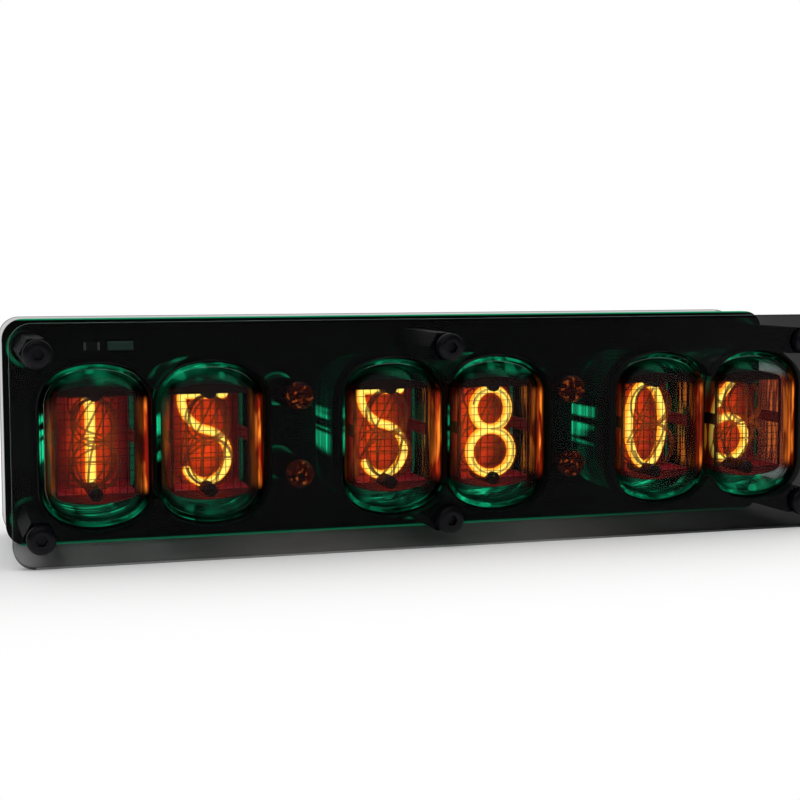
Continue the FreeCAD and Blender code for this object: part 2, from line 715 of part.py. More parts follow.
# Colon lamps: a small glass capsule with two electrode rods
def colon_lamp():
    radius = LAMP_DIAMETER / 2
    back = board_front_y - LAMP_SEAT
    dome_y = cover_back_y + LAMP_TIP_GAP + radius
    press_y = back - LAMP_PRESS
    outer = rod(0, 0, LAMP_DIAMETER, dome_y, back).fuse(Part.makeSphere(radius, V(0, dome_y, 0)))
    cavity = rod(0, 0, LAMP_DIAMETER - 2 * LAMP_WALL, dome_y, press_y)
    cavity = cavity.fuse(Part.makeSphere(radius - LAMP_WALL, V(0, dome_y, 0)))
    holes = [rod(side * ELECTRODE_SPACING / 2, 0, LEAD_DIAMETER, press_y, back) for side in (-1, 1)]
    return outer.cut([cavity] + holes)


def lamp_electrode(side):
    x = side * ELECTRODE_SPACING / 2
    press_y = board_front_y - LAMP_SEAT - LAMP_PRESS
    tip_y = cover_back_y + LAMP_TIP_GAP + ELECTRODE_TIP_GAP
    return rod(x, 0, ELECTRODE_DIAMETER, tip_y, press_y).fuse(
        rod(x, 0, LEAD_DIAMETER, press_y, board_back_y + PIN_TAIL)
    )


# Parts on the front of the board
led_y = board_front_y - LED_HEIGHT
sensor_z = plate_z + standoff_z


def tube_leds():
    """Two green lamps behind each tube, above and below its seal tip."""
    places = [(x, tube_z + side * LED_SPACING / 2) for x in tube_x for side in (-1, 1)]
    leds = []
    for x, z in places:
        body = block(x, z, LED_LENGTH, LED_WIDTH, led_y, board_front_y)
        mouth = LED_WELL_DIAMETER / 2
        well = Part.makeCone(mouth, LED_WELL_FLOOR_DIAMETER / 2, LED_WELL_DEPTH, V(x, led_y, z), OUTWARD)
        leds.append(body.cut(well))
    return leds


def light_sensor():
    face_y = board_front_y - SENSOR_HEIGHT
    body = block(SENSOR_X, sensor_z, SENSOR_LENGTH, SENSOR_WIDTH, face_y, board_front_y)
    return body.makeChamfer(SENSOR_EDGE_CHAMFER, edges_at(body, face_y))


def front_resistor():
    x = SENSOR_X - SENSOR_LENGTH / 2 - SENSOR_RESISTOR_GAP - CHIP_RESISTOR_LENGTH / 2
    face_y = board_front_y - CHIP_RESISTOR_HEIGHT
    return block(x, sensor_z, CHIP_RESISTOR_LENGTH, CHIP_RESISTOR_WIDTH, face_y, board_front_y)


# Parts on the back of the board
def upright(x, z, width, height, rise, lift=0.0):
    """A plain body standing on the back of the board."""
    return block(x, z, width, height, board_back_y + lift, board_back_y + lift + rise)


def decoder_leg(x, z, side):
    """One leg: a shoulder out of the body's side, and a foot down to the board."""
    inner = DECODER_WIDTH / 2
    outer = DECODER_PIN_ROWS / 2 + CHIP_LEAD_THICKNESS
    shoulder_x = x + side * (inner + outer) / 2
    foot_x = x + side * (outer - CHIP_LEAD_THICKNESS / 2)
    shoulder_rise = DECODER_LIFT + DECODER_HEIGHT / 2
    leg_rise = shoulder_rise + CHIP_LEAD_THICKNESS
    shoulder = upright(shoulder_x, z, outer - inner, CHIP_LEAD_WIDTH, CHIP_LEAD_THICKNESS, shoulder_rise)
    foot = upright(foot_x, z, CHIP_LEAD_THICKNESS, CHIP_LEAD_WIDTH, leg_rise)
    return shoulder.fuse(foot)


def decoder_chip(x, z):
    """The high-voltage decoder: a long body between two rows of legs that end on the board."""
    body = upright(x, z, DECODER_WIDTH, DECODER_LENGTH, DECODER_HEIGHT, DECODER_LIFT)
    top_y = board_back_y + DECODER_LIFT + DECODER_HEIGHT
    notch_z = z + DECODER_LENGTH / 2
    notch = rod(x, notch_z, DECODER_NOTCH_DIAMETER, top_y - DECODER_NOTCH_DEPTH, top_y)
    first_z = z - (DECODER_PIN_COUNT - 1) / 2 * DECODER_PIN_PITCH
    leg_z = [first_z + k * DECODER_PIN_PITCH for k in range(DECODER_PIN_COUNT)]
    legs = [decoder_leg(x, height, side) for height in leg_z for side in (-1, 1)]
    return body.cut(notch).fuse(legs)


def flat_leads(x, z, reach_x, reach_z, count, pitch):
    """Straight flat leads on the board: bars that cross under a chip body along X, Z or both."""
    bars = []
    for k in range(count):
        offset = (k - (count - 1) / 2) * pitch
        if reach_x:
            bars.append(upright(x, z + offset, reach_x, FLAT_LEAD_WIDTH, CHIP_LEAD_THICKNESS))
        if reach_z:
            bars.append(upright(x + offset, z, FLAT_LEAD_WIDTH, reach_z, CHIP_LEAD_THICKNESS))
    return bars


def controller_chip(x, z):
    reach = CONTROLLER_SIDE + 2 * CONTROLLER_LEAD_REACH
    body = upright(x, z, CONTROLLER_SIDE, CONTROLLER_SIDE, CONTROLLER_HEIGHT)
    return body.fuse(flat_leads(x, z, reach, reach, CONTROLLER_LEADS, CONTROLLER_LEAD_PITCH))


def timekeeper_chip(x, z):
    reach = TIMEKEEPER_WIDTH + 2 * TIMEKEEPER_LEAD_REACH
    body = upright(x, z, TIMEKEEPER_LENGTH, TIMEKEEPER_WIDTH, TIMEKEEPER_HEIGHT)
    return body.fuse(flat_leads(x, z, 0, reach, TIMEKEEPER_LEADS, TIMEKEEPER_LEAD_PITCH))


def clock_crystal(x, z):
    """A metal can with rounded ends, on two short leads."""
    can_y = board_back_y + CRYSTAL_LIFT
    can = block(x, z, CRYSTAL_WIDTH, CRYSTAL_LENGTH, can_y, can_y + CRYSTAL_HEIGHT)
    corners = [e for e in can.Edges if abs(e.tangentAt(0).y) > 0.5]
    can = can.makeFillet(CRYSTAL_END_RADIUS, corners)
    feet = [rod(x, z + side * CRYSTAL_LENGTH / 4, LEAD_DIAMETER, board_back_y, can_y) for side in (-1, 1)]
    return can.fuse(feet)


def cell_holder(x, z):
    """A shallow tray with a round well for the backup cell, open to the rear."""
    side = CELL_DIAMETER + 2 * (CELL_GAP + HOLDER_WALL)
    body = upright(x, z, HOLDER_LENGTH, side, HOLDER_HEIGHT)
    well_y = board_back_y + HOLDER_FLOOR
    well = rod(x, z, CELL_DIAMETER + 2 * CELL_GAP, well_y, board_back_y + HOLDER_HEIGHT)
    return body.cut(well)


def backup_cell(x, z):
    cell_y = board_back_y + HOLDER_FLOOR
    cell = rod(x, z, CELL_DIAMETER, cell_y, cell_y + CELL_THICKNESS)
    return cell.makeFillet(CELL_EDGE_RADIUS, edges_at(cell, cell_y + CELL_THICKNESS))


def high_voltage_coil(x, z):
    """A shielded coil: a square ferrite block with cut corners and a round core face."""
    body = upright(x, z, COIL_SIDE, COIL_SIDE, COIL_HEIGHT)
    corners = [e for e in body.Edges if abs(e.tangentAt(0).y) > 0.5]
    body = body.makeChamfer(COIL_CORNER_CUT, corners)
    top_y = board_back_y + COIL_HEIGHT
    groove_inner = COIL_CORE_DIAMETER - 2 * COIL_GROOVE_WIDTH
    groove = ring(x, z, COIL_CORE_DIAMETER, groove_inner, top_y - COIL_GROOVE_DEPTH, top_y)
    return body.cut(groove)


def high_voltage_capacitor(x, z):
    """A capacitor can lying along Z on the board, with its two leads bent down to it."""
    radius = CAPACITOR_DIAMETER / 2
    axis_y = board_back_y + radius
    low_z = z - CAPACITOR_LENGTH / 2
    can = Part.makeCylinder(radius, CAPACITOR_LENGTH, V(x, axis_y, low_z), V(0, 0, 1))
    groove_at = V(x, axis_y, low_z + CAPACITOR_GROOVE_INSET)
    groove = Part.makeTorus(radius, CAPACITOR_GROOVE_RADIUS, groove_at, V(0, 0, 1))
    leads = []
    for side in (-1, 1):
        lead_x = x + side * CAPACITOR_LEAD_SPACING / 2
        lead_z = low_z - CAPACITOR_LEAD
        bend = V(lead_x, axis_y, lead_z)
        down = rod(lead_x, lead_z, CAPACITOR_LEAD, board_back_y, axis_y)
        along = Part.makeCylinder(CAPACITOR_LEAD / 2, CAPACITOR_LEAD, bend, V(0, 0, 1))
        knee = Part.makeSphere(CAPACITOR_LEAD / 2, bend)
        leads += [down, along, knee]
    return can.cut(groove).fuse(leads)


def tabbed_package(x, z, width, length, height):
    """A moulded power package: body, wide tab on one side and three leads on the other."""
    body = upright(x, z, width, length, height)
    reach = (length + TAB_LENGTH) / 2
    tab = upright(x, z + reach, width - 2 * TAB_SIDE_STEP, TAB_LENGTH, TAB_THICKNESS)
    lead_x = [x + side * POWER_LEAD_PITCH for side in (-1, 0, 1)]
    leads = [upright(at, z - reach, POWER_LEAD_WIDTH, TAB_LENGTH, CHIP_LEAD_THICKNESS) for at in lead_x]
    return body.fuse([tab] + leads)


def row_of_parts(z, width, height, rise):
    """One plain part behind each tube, all at the same height."""
    return [upright(x, z, width, height, rise) for x in tube_x]


# Where the parts on the back of the board go: each keeps PART_SPACING from its neighbours
inner_gap = COLON_GAP - PIN_RING_WIDTH - PIN_DIAMETER
left_zone = (colon_x[0] - inner_gap / 2, colon_x[0] + inner_gap / 2)
decoder_half = DECODER_PIN_ROWS / 2 + CHIP_LEAD_THICKNESS
decoder_x = left_zone[1] - PART_SPACING - decoder_half
coil_x = left_zone[0] + PART_SPACING + COIL_SIDE / 2
transistor_reach = TRANSISTOR_LENGTH / 2 + TAB_LENGTH
coil_z = plate_z + transistor_reach + PART_SPACING + COIL_SIDE / 2
capacitor_z = plate_z - transistor_reach - PART_SPACING - CAPACITOR_LENGTH / 2
pin_row_z = PIN_RING_HEIGHT / 2 * math.cos(math.pi / PIN_COUNT) + PIN_DIAMETER / 2
driver_z = tube_z + pin_row_z + PART_SPACING + ANODE_DRIVER_DEPTH / 2
small_z = tube_z - pin_row_z - PART_SPACING - CHIP_CAPACITOR_WIDTH / 2
resistor_z = small_z - CHIP_CAPACITOR_WIDTH / 2 - PART_SPACING - CHIP_RESISTOR_WIDTH / 2
lamp_lead_z = LAMP_SPACING / 2 + LEAD_DIAMETER / 2
regulator_z = plate_z + lamp_lead_z + PART_SPACING + REGULATOR_LENGTH / 2 + TAB_LENGTH
timekeeper_z = plate_z - lamp_lead_z - PART_SPACING - TIMEKEEPER_WIDTH / 2 - TIMEKEEPER_LEAD_REACH


# Power socket at the right end: an oval metal shell with a contact tongue
def oval_bar(width, height, x0, x1, y, z):
    """A bar along X whose section is an oblong with round ends, standing up along Z."""
    straight = width - height
    middle = Part.makeBox(x1 - x0, height, straight, V(x0, y - height / 2, z - straight / 2))
    end_places = [V(x0, y, z + side * straight / 2) for side in (-1, 1)]
    ends = [Part.makeCylinder(height / 2, x1 - x0, place, V(1, 0, 0)) for place in end_places]
    return middle.fuse(ends)


socket_mouth_x = plate_width / 2
socket_back_x = socket_mouth_x - SOCKET_DEPTH
socket_y = board_back_y + SOCKET_HEIGHT / 2


def power_socket():
    shell = oval_bar(SOCKET_WIDTH, SOCKET_HEIGHT, socket_back_x, socket_mouth_x, socket_y, plate_z)
    hollow_width = SOCKET_WIDTH - 2 * SOCKET_WALL
    hollow_height = SOCKET_HEIGHT - 2 * SOCKET_WALL
    hollow_x = socket_back_x + 2 * SOCKET_WALL
    return shell.cut(oval_bar(hollow_width, hollow_height, hollow_x, socket_mouth_x, socket_y, plate_z))


def socket_tongue():
    x0 = socket_back_x + 2 * SOCKET_WALL
    x1 = socket_mouth_x - TONGUE_SETBACK
    low_y = socket_y - TONGUE_THICKNESS / 2
    return block((x0 + x1) / 2, plate_z, x1 - x0, TONGUE_WIDTH, low_y, low_y + TONGUE_THICKNESS)


# Setting buttons: a long plunger that slides in a small switch and passes through the rear cover
switch_top_y = board_back_y + SWITCH_HEIGHT
switch_lid_y = switch_top_y - SWITCH_LID
flange_y = switch_lid_y - BUTTON_FLANGE_GAP - BUTTON_FLANGE_THICKNESS
contact_top_y = flange_y - BUTTON_TRAVEL - CONTACT_CLEARANCE
cavity_y = contact_top_y - CONTACT_RISE


def switch_body(x, z):
    body = upright(x, z, SWITCH_SIDE, SWITCH_SIDE, SWITCH_HEIGHT)
    cavity = rod(x, z, SWITCH_CAVITY_DIAMETER, cavity_y, switch_lid_y)
    guide = rod(x, z, BUTTON_DIAMETER + 2 * BUTTON_GUIDE_CLEARANCE, switch_lid_y, switch_top_y)
    return body.cut([cavity, guide])


def switch_contact(x, z):
    """The springy contact disc on the floor of the switch, raised in the middle to meet the plunger."""
    disc_diameter = SWITCH_CAVITY_DIAMETER - 2 * BUTTON_FLANGE_GAP
    disc = rod(x, z, disc_diameter, cavity_y, cavity_y + CONTACT_THICKNESS)
    return disc.fuse(rod(x, z, CONTACT_CROWN_DIAMETER, cavity_y, contact_top_y))


def setting_button(x, z):
    flange = rod(x, z, BUTTON_FLANGE_DIAMETER, flange_y, flange_y + BUTTON_FLANGE_THICKNESS)
    end_y = rear_back_y + BUTTON_REACH
    stem = rod(x, z, BUTTON_DIAMETER, flange_y, end_y)
    stem = stem.makeFillet(BUTTON_END_RADIUS, edges_at(stem, end_y))
    return stem.fuse(flange)


def build_frame():
    save("front_cover", [front_cover()])
    save("tube_board", [tube_board()])
    save("rear_cover", [rear_cover()])
    save("front_standoffs", [front_standoff(x, z) for x, z in standoff_places])
    save("rear_standoffs", [rear_standoff(x, z) for x, z in standoff_places])
    save("front_screws", [screw(x, z, cover_face_y, 1) for x, z in standoff_places])
    save("rear_screws", [screw(x, z, rear_back_y, -1) for x, z in standoff_places])


def build_tubes():
    glass = tube_glass()
    tray = tube_tray()
    digits = [cathode(digit, layer) for layer, digit in enumerate(DIGIT_ORDER)]
    for number, x in enumerate(tube_x, 1):
        save(f"tube_{number}_glass", [moved(glass, x, 0, tube_z)])
        save(f"tube_{number}_tray", [moved(tray, x, 0, tube_z)])
        save(f"tube_{number}_digits", [moved(digit, x, 0, tube_z) for digit in digits])
    save("tube_bases", at_each_tube(tube_base()))
    save("tube_meshes", at_each_tube(tube_mesh()))
    columns = [insulating_column(side) for side in (-1, 1)]
    save("tube_columns", [piece for column in columns for piece in at_each_tube(column)])
    save("tube_backplates", at_each_tube(tube_backplate()))
    pin = tube_pin()
    receptacle = pin_receptacle()
    save("tube_pins", [moved(pin, x, 0, z) for x, z in pin_places()])
    save("pin_receptacles", [moved(receptacle, x, 0, z) for x, z in pin_places()])


def build_front_parts():
    lamp = colon_lamp()
    electrodes = [lamp_electrode(side) for side in (-1, 1)]
    save("colon_lamps", [moved(lamp, x, 0, z) for x, z in lamp_places()])
    save("lamp_electrodes", [moved(rods, x, 0, z) for x, z in lamp_places() for rods in electrodes])
    save("tube_leds", tube_leds())
    save("light_sensor", [light_sensor()])
    save("front_resistor", [front_resistor()])


def build_rear_parts():
    save("decoder_chip", [decoder_chip(decoder_x, plate_z)])
    save("high_voltage_coil", [high_voltage_coil(coil_x, coil_z)])
    save("high_voltage_capacitor", [high_voltage_capacitor(coil_x, capacitor_z)])
    transistor = tabbed_package(coil_x, plate_z, TRANSISTOR_WIDTH, TRANSISTOR_LENGTH, TRANSISTOR_HEIGHT)
    save("switching_transistor", [transistor])
    save("clock_crystal", [clock_crystal(0, plate_z)])
    save("controller_chip", [controller_chip(tube_x[3], tube_z)])
    save("cell_holder", [cell_holder(colon_x[1], plate_z)])
    save("backup_cell", [backup_cell(colon_x[1], plate_z)])
    regulator = tabbed_package(colon_x[1], regulator_z, REGULATOR_WIDTH, REGULATOR_LENGTH, REGULATOR_HEIGHT)
    save("voltage_regulator", [regulator])
    save("timekeeper_chip", [timekeeper_chip(colon_x[1], timekeeper_z)])
    driver = (ANODE_DRIVER_WIDTH, ANODE_DRIVER_DEPTH, ANODE_DRIVER_HEIGHT)
    save("anode_drivers", row_of_parts(driver_z, *driver))
    resistor = (CHIP_RESISTOR_LENGTH, CHIP_RESISTOR_WIDTH, CHIP_RESISTOR_HEIGHT)
    save("anode_resistors", row_of_parts(resistor_z, *resistor))
    capacitor = (CHIP_CAPACITOR_LENGTH, CHIP_CAPACITOR_WIDTH, CHIP_CAPACITOR_HEIGHT)
    save("chip_capacitors", row_of_parts(small_z, *capacitor))
    save("power_socket", [power_socket()])
    save("socket_tongue", [socket_tongue()])


def build_buttons():
    save("button_switches", [switch_body(x, z) for x, z in button_places])
    save("switch_contacts", [switch_contact(x, z) for x, z in button_places])
    for name, (x, z) in zip(button_names, button_places):
        save(name, [setting_button(x, z)])


os.makedirs("parts", exist_ok=True)
build_frame()
build_tubes()
build_front_parts()
build_rear_parts()
build_buttons()
print("plate", round(plate_width, 2), "x", round(plate_height, 2), "depth", round(total_depth, 2))
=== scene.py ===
# %% [markdown]
# # A six-tube glow clock
#
# The clock is an upright black circuit board between two smoked clear covers. Six oval glass tubes stand
# on the board and reach through windows in the front cover. In each tube one of ten thin metal digits is
# wrapped in an orange glow, and green lamps on the board light the glass from behind.
#
# The CAD model brings every solid piece at its real size. This script gives each one its finish, and adds
# what has no solid of its own: the glow round the lit digits and the solder on the board. Lengths are in
# metres, +X is the viewer's right, -Y faces the viewer and +Z is up.

# %% Load the fixed frame
import json
import math

import bpy
import numpy as np
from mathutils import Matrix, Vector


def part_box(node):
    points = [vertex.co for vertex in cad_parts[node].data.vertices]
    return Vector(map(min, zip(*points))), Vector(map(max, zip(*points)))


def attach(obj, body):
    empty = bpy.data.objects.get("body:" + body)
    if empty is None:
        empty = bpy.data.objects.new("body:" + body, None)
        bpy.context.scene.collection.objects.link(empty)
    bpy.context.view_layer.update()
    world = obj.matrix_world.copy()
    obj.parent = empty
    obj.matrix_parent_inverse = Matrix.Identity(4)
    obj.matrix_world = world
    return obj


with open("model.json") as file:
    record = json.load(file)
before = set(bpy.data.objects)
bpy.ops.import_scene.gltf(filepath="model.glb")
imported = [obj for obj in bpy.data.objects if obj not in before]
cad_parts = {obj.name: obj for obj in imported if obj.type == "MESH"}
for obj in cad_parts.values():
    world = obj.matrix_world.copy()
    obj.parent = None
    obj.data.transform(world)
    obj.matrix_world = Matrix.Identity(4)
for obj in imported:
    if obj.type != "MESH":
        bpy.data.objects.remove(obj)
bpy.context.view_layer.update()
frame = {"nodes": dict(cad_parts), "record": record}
record = frame["record"]
nodes = frame["nodes"]
MM = 0.001

# %% [markdown]
# ## Places read from the frame
#
# Typed numbers go stale when the model changes. Each node knows its own box, so the middle of each tube and
# the planes of the parts come from there.

# %% Middles and planes
TUBE_COUNT = 6
TUBES = range(1, TUBE_COUNT + 1)
DIGIT_COUNT = 10


def middle(node):
    """The centre of a node's box as an array."""
    low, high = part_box(node)
    return (np.array(low) + np.array(high)) / 2


def points_of(node):
    """The points of a node's mesh, one row each."""
    mesh = nodes[node].data
    points = np.empty(len(mesh.vertices) * 3)
    mesh.vertices.foreach_get("co", points)
    return points.reshape(-1, 3)


glass_boxes = {n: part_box(f"tube_{n}_glass") for n in TUBES}
digit_boxes = {n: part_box(f"tube_{n}_digits") for n in TUBES}
tube_middle = {n: middle(f"tube_{n}_glass") for n in TUBES}
board_low, board_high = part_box("tube_board")
cover_low, cover_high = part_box("front_cover")
rear_low, rear_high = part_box("rear_cover")
plate_z = (cover_low.z + cover_high.z) / 2
print("tube middles along x in mm:", [round(1000 * m[0], 1) for m in tube_middle.values()])

# %% [markdown]
# ## Writing shader maths as sums
#
# A finish is a tree of shader nodes. Adding each Math node by hand hides the formula, so a small class wraps
# one socket and overloads the arithmetic signs: `1 - edge * 0.5` adds the two Math nodes that say so. A
# second class holds one material and has a single method that makes any other node.

# %% A socket that can stand in a sum
class Wire:
    """One output socket. Arithmetic on it adds Math nodes to its material and returns a new Wire."""

    def __init__(self, finish, socket):
        self.finish = finish
        self.socket = socket

    def math(self, operation, *others):
        return self.finish.node("ShaderNodeMath", {"operation": operation}, dict(enumerate((self, *others))))

    def reflected(self, operation, other):
        return self.finish.node("ShaderNodeMath", {"operation": operation}, {0: other, 1: self})

    def __add__(self, other):
        return self.math("ADD", other)

    def __sub__(self, other):
        return self.math("SUBTRACT", other)

    def __mul__(self, other):
        return self.math("MULTIPLY", other)

    def __truediv__(self, other):
        return self.math("DIVIDE", other)

    def __pow__(self, other):
        return self.math("POWER", other)

    def __gt__(self, other):
        return self.math("GREATER_THAN", other)

    def __lt__(self, other):
        return self.math("LESS_THAN", other)

    def __rsub__(self, other):
        return self.reflected("SUBTRACT", other)

    __radd__ = __add__
    __rmul__ = __mul__

    def __abs__(self):
        return self.math("ABSOLUTE")

    def at_least(self, other):
        return self.math("MAXIMUM", other)

    def at_most(self, other):
        return self.math("MINIMUM", other)

    def clamped(self):
        return self.at_least(0.0).at_most(1.0)

    def root(self):
        return self.math("SQRT")

    def step(self, low, high):
        """0 below low, 1 above high, and a smooth rise between them."""
        settings = {"interpolation_type": "SMOOTHSTEP"}
        values = {"Value": self, "From Min": low, "From Max": high}
        return self.finish.node("ShaderNodeMapRange", settings, values)

    def around(self, centre, inner, outer):
        """1 within inner of a centre, 0 beyond outer, and a smooth fall between them."""
        return 1 - abs(self - centre).step(inner, outer)


# %% [markdown]
# A material has many nodes but few kinds of them, so the second class also has short methods for the kinds
# that come back: place, noise, blended colours, bumps and mixed shaders.

# %% A material being made
class Finish:
    """One material: node() adds any node, and surface() ends it."""

    def __init__(self, name):
        self.material = bpy.data.materials.new(name)
        self.material.use_nodes = True
        self.tree = self.material.node_tree
        self.tree.nodes.clear()

    def node(self, kind, settings=None, inputs=None, output=0):
        made = self.tree.nodes.new(kind)
        for name, value in (settings or {}).items():
            setattr(made, name, value)
        for name, value in (inputs or {}).items():
            if isinstance(value, Wire):
                self.tree.links.new(value.socket, made.inputs[name])
            else:
                made.inputs[name].default_value = value
        return Wire(self, made.outputs[output])

    def place(self):
        """Object coordinates as three numbers, in metres."""
        point = self.node("ShaderNodeTexCoord", output="Object")
        return [self.node("ShaderNodeSeparateXYZ", inputs={0: point}, output=k) for k in range(3)]

    def noise(self, scale, detail=2.0, stretch=(1, 1, 1)):
        """Noise of about `scale` bumps a millimetre, between 0 and 1."""
        point = self.node("ShaderNodeTexCoord", output="Object")
        point = self.node("ShaderNodeMapping", inputs={"Vector": point, "Scale": stretch})
        values = {"Vector": point, "Scale": scale / MM, "Detail": detail}
        return self.node("ShaderNodeTexNoise", inputs=values)

    def blend(self, share, first, second):
        """A colour that goes from first to second as share goes from 0 to 1."""
        settings = {"data_type": "RGBA"}
        return self.node("ShaderNodeMix", settings, {0: share, 6: first, 7: second}, output=2)

    def dimmed(self, colour, strength):
        """A colour multiplied by a number."""
        settings = {"operation": "SCALE"}
        vector = colour if isinstance(colour, Wire) else colour[:3]
        return self.node("ShaderNodeVectorMath", settings, {0: vector, "Scale": strength})

    def added(self, first, second):
        """The sum of two colours."""
        return self.node("ShaderNodeVectorMath", {"operation": "ADD"}, {0: first, 1: second})

    def bump(self, height, distance, strength):
        values = {"Height": height, "Distance": distance, "Strength": strength}
        return self.node("ShaderNodeBump", inputs=values)

    def ray(self, name):
        """One output of the Light Path node, such as Is Camera Ray."""
        return self.node("ShaderNodeLightPath", output=name)

    def mixed(self, share, first, second):
        """A shader that goes from first to second as share goes from 0 to 1."""
        return self.node("ShaderNodeMixShader", inputs={0: share, 1: first, 2: second})

    def coated(self, **inputs):
        """A Principled shader: keyword names are its sockets, with _ for a space."""
        named = {key.replace("_", " "): value for key, value in inputs.items()}
        return self.node("ShaderNodeBsdfPrincipled", inputs=named)

    def surface(self, shader):
        output = self.tree.nodes.new("ShaderNodeOutputMaterial")
        self.tree.links.new(shader.socket, output.inputs["Surface"])
        return self.material

    def painted(self, **inputs):
        return self.surface(self.coated(**inputs))


def screen(red, green, blue, alpha=1.0):
    """A colour as a screen shows it, 0 to 255, turned into the light values that shaders use."""
    shares = np.array([red, green, blue]) / 255
    light = np.where(shares <= 0.04045, shares / 12.92, ((shares + 0.055) / 1.055) ** 2.4)
    return (*light.tolist(), alpha)


print("one dim grey is", [round(v, 4) for v in screen(60, 60, 60)])

# %% [markdown]
# ## Clear finishes
#
# There are two ways to make a clear part. Real refraction bends what is behind it, which a rounded glass tube
# needs. A flat sheet only dims what is behind it, so for the covers a plain surface with an alpha does the
# same, renders without speckle, and can be given just as much shine as wanted.
#
# The covers are cast acrylic, smoked dark grey. The front one is darker than the rear one. To the right it
# has painted shade added to its smoke, for the dark room seen through it there. The faces lie in two planes,
# so an edge is what lies between them. The outer edge has a thin painted green line, standing for the lamps'
# light that runs along inside the sheet, and the walls of the windows are dark.

# %% Smoked acrylic covers
FRONT_SMOKE = 0.44
REAR_SMOKE = 0.24
RIGHT_PAINTED_SHADE = 0.38
RIGHT_START = 10 * MM
RIGHT_END = 80 * MM
MOST_SMOKE = 0.96
RIM = 2.0 * MM
EDGE_SKIN = 0.3 * MM
LAMP_GREEN = screen(20, 190, 130)


def smoked_acrylic():
    finish = Finish("smoked_acrylic")
    x, y, z = finish.place()
    front_edge = (y > cover_low.y + EDGE_SKIN) * (y < cover_high.y - EDGE_SKIN)
    rear_edge = (y > rear_low.y + EDGE_SKIN) * (y < rear_high.y - EDGE_SKIN)
    edge = front_edge + rear_edge
    outer = (abs(x) > cover_high.x - RIM).at_least(abs(z - plate_z) > cover_high.z - plate_z - RIM)
    window = front_edge * (1 - outer)
    middle_line = ((y - cover_low.y) / (cover_high.y - cover_low.y)).around(0.5, 0.1, 0.4)
    patchy = finish.noise(0.05, 2.0, (1, 0.2, 1)).step(0.35, 0.75)
    # painted shade: the front sheet's smoke deepens to the right, for the dark room seen through it
    front_smoke_and_shade = x.step(RIGHT_START, RIGHT_END) * RIGHT_PAINTED_SHADE + FRONT_SMOKE
    smoke_and_shade = (y < board_low.y) * (front_smoke_and_shade - REAR_SMOKE) + REAR_SMOKE
    scuffs = finish.noise(1.2, 3.0).step(0.6, 0.85)
    return finish.painted(
        Base_Color=finish.blend(edge, screen(2, 2, 3), screen(6, 14, 12)),
        Roughness=scuffs * 0.12 + edge * 0.45 + 0.06,
        Specular_IOR_Level=0.08,
        Alpha=(smoke_and_shade + edge * 0.28 + window * 0.5).at_most(MOST_SMOKE),
        # the emission is a painted green line of the lamps' light along the outer edge
        Emission_Color=finish.dimmed(LAMP_GREEN, edge * outer * middle_line * patchy * 0.16),
        Emission_Strength=1.0,
    )


# %% [markdown]
# A path tracer finds lamps behind bent light badly: what is inside a glass goes dark and speckled. The usual
# cure is to let lamp rays and soft bounces go straight through a Transparent shader, while the camera still
# sees the real refraction. The bend is smaller than that of real glass: at 1.5 each face would mirror four
# per cent of the pale floor, and that veil would hide the dark inside that the photograph shows.

# %% One function for refracting glass
GLASS_BEND = 1.11


def clear_shader(finish, tint_and_painted_shade, passing, **more):
    """Refraction for the eye, and a straight way through, in the colour `passing`, for lamps."""
    glass = finish.coated(Base_Color=tint_and_painted_shade, Roughness=0.0, IOR=GLASS_BEND, Transmission_Weight=1.0, **more)
    straight = finish.node("ShaderNodeBsdfTransparent", inputs={"Color": passing})
    lamp_or_soft = finish.ray("Is Shadow Ray").at_least(finish.ray("Is Diffuse Ray"))
    return finish.mixed(lamp_or_soft, glass, straight)


# %% [markdown]
# Tube glass is clear. What makes it visible at night is light that runs inside its walls, and that light is
# painted into the glass as emission. Green from the lamps behind the base is painted as nested arcs with
# glints at the top and bottom, and as streaks and lamp spots on the left. The lit digit is painted as an
# orange reflected streak in the right wall and as thin streaks along the rounded front edge. The tint carries
# painted
# shade too: the walls are darker, and the right side has a painted dark red reflection that also hides the
# studio. All of it lies in bands of depth along the wall, so a noise stretched round the tube draws the
# bands, and masks by height and side say what goes where.

# %% Tube glass
TUBE_TINT = screen(246, 250, 248)
WALL_PAINTED_SHADE = screen(92, 100, 98)
SIDE_PAINTED_REFLECTION = screen(96, 36, 26)
tube_face_y = glass_boxes[1][0].y
tube_back_y = glass_boxes[1][1].y
tube_half_width = (glass_boxes[1][1].x - glass_boxes[1][0].x) / 2
tube_half_height = (glass_boxes[1][1].z - glass_boxes[1][0].z) / 2
tube_z = float(tube_middle[1][2])
led_low, led_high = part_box("tube_leds")
LED_INSET = 1.4 * MM
led_offset = (led_high.z - led_low.z) / 2 - LED_INSET
STREAK_DEPTH = 0.38
FRONT_LINE = 0.87


def from_nearest_tube(x):
    """Signed distance along x to the middle of the nearest tube."""
    offsets = [x - float(tube_middle[n][0]) for n in TUBES]
    nearest = offsets[0]
    for offset in offsets[1:]:
        closer = abs(offset) < abs(nearest)
        nearest = nearest + (offset - nearest) * closer
    return nearest


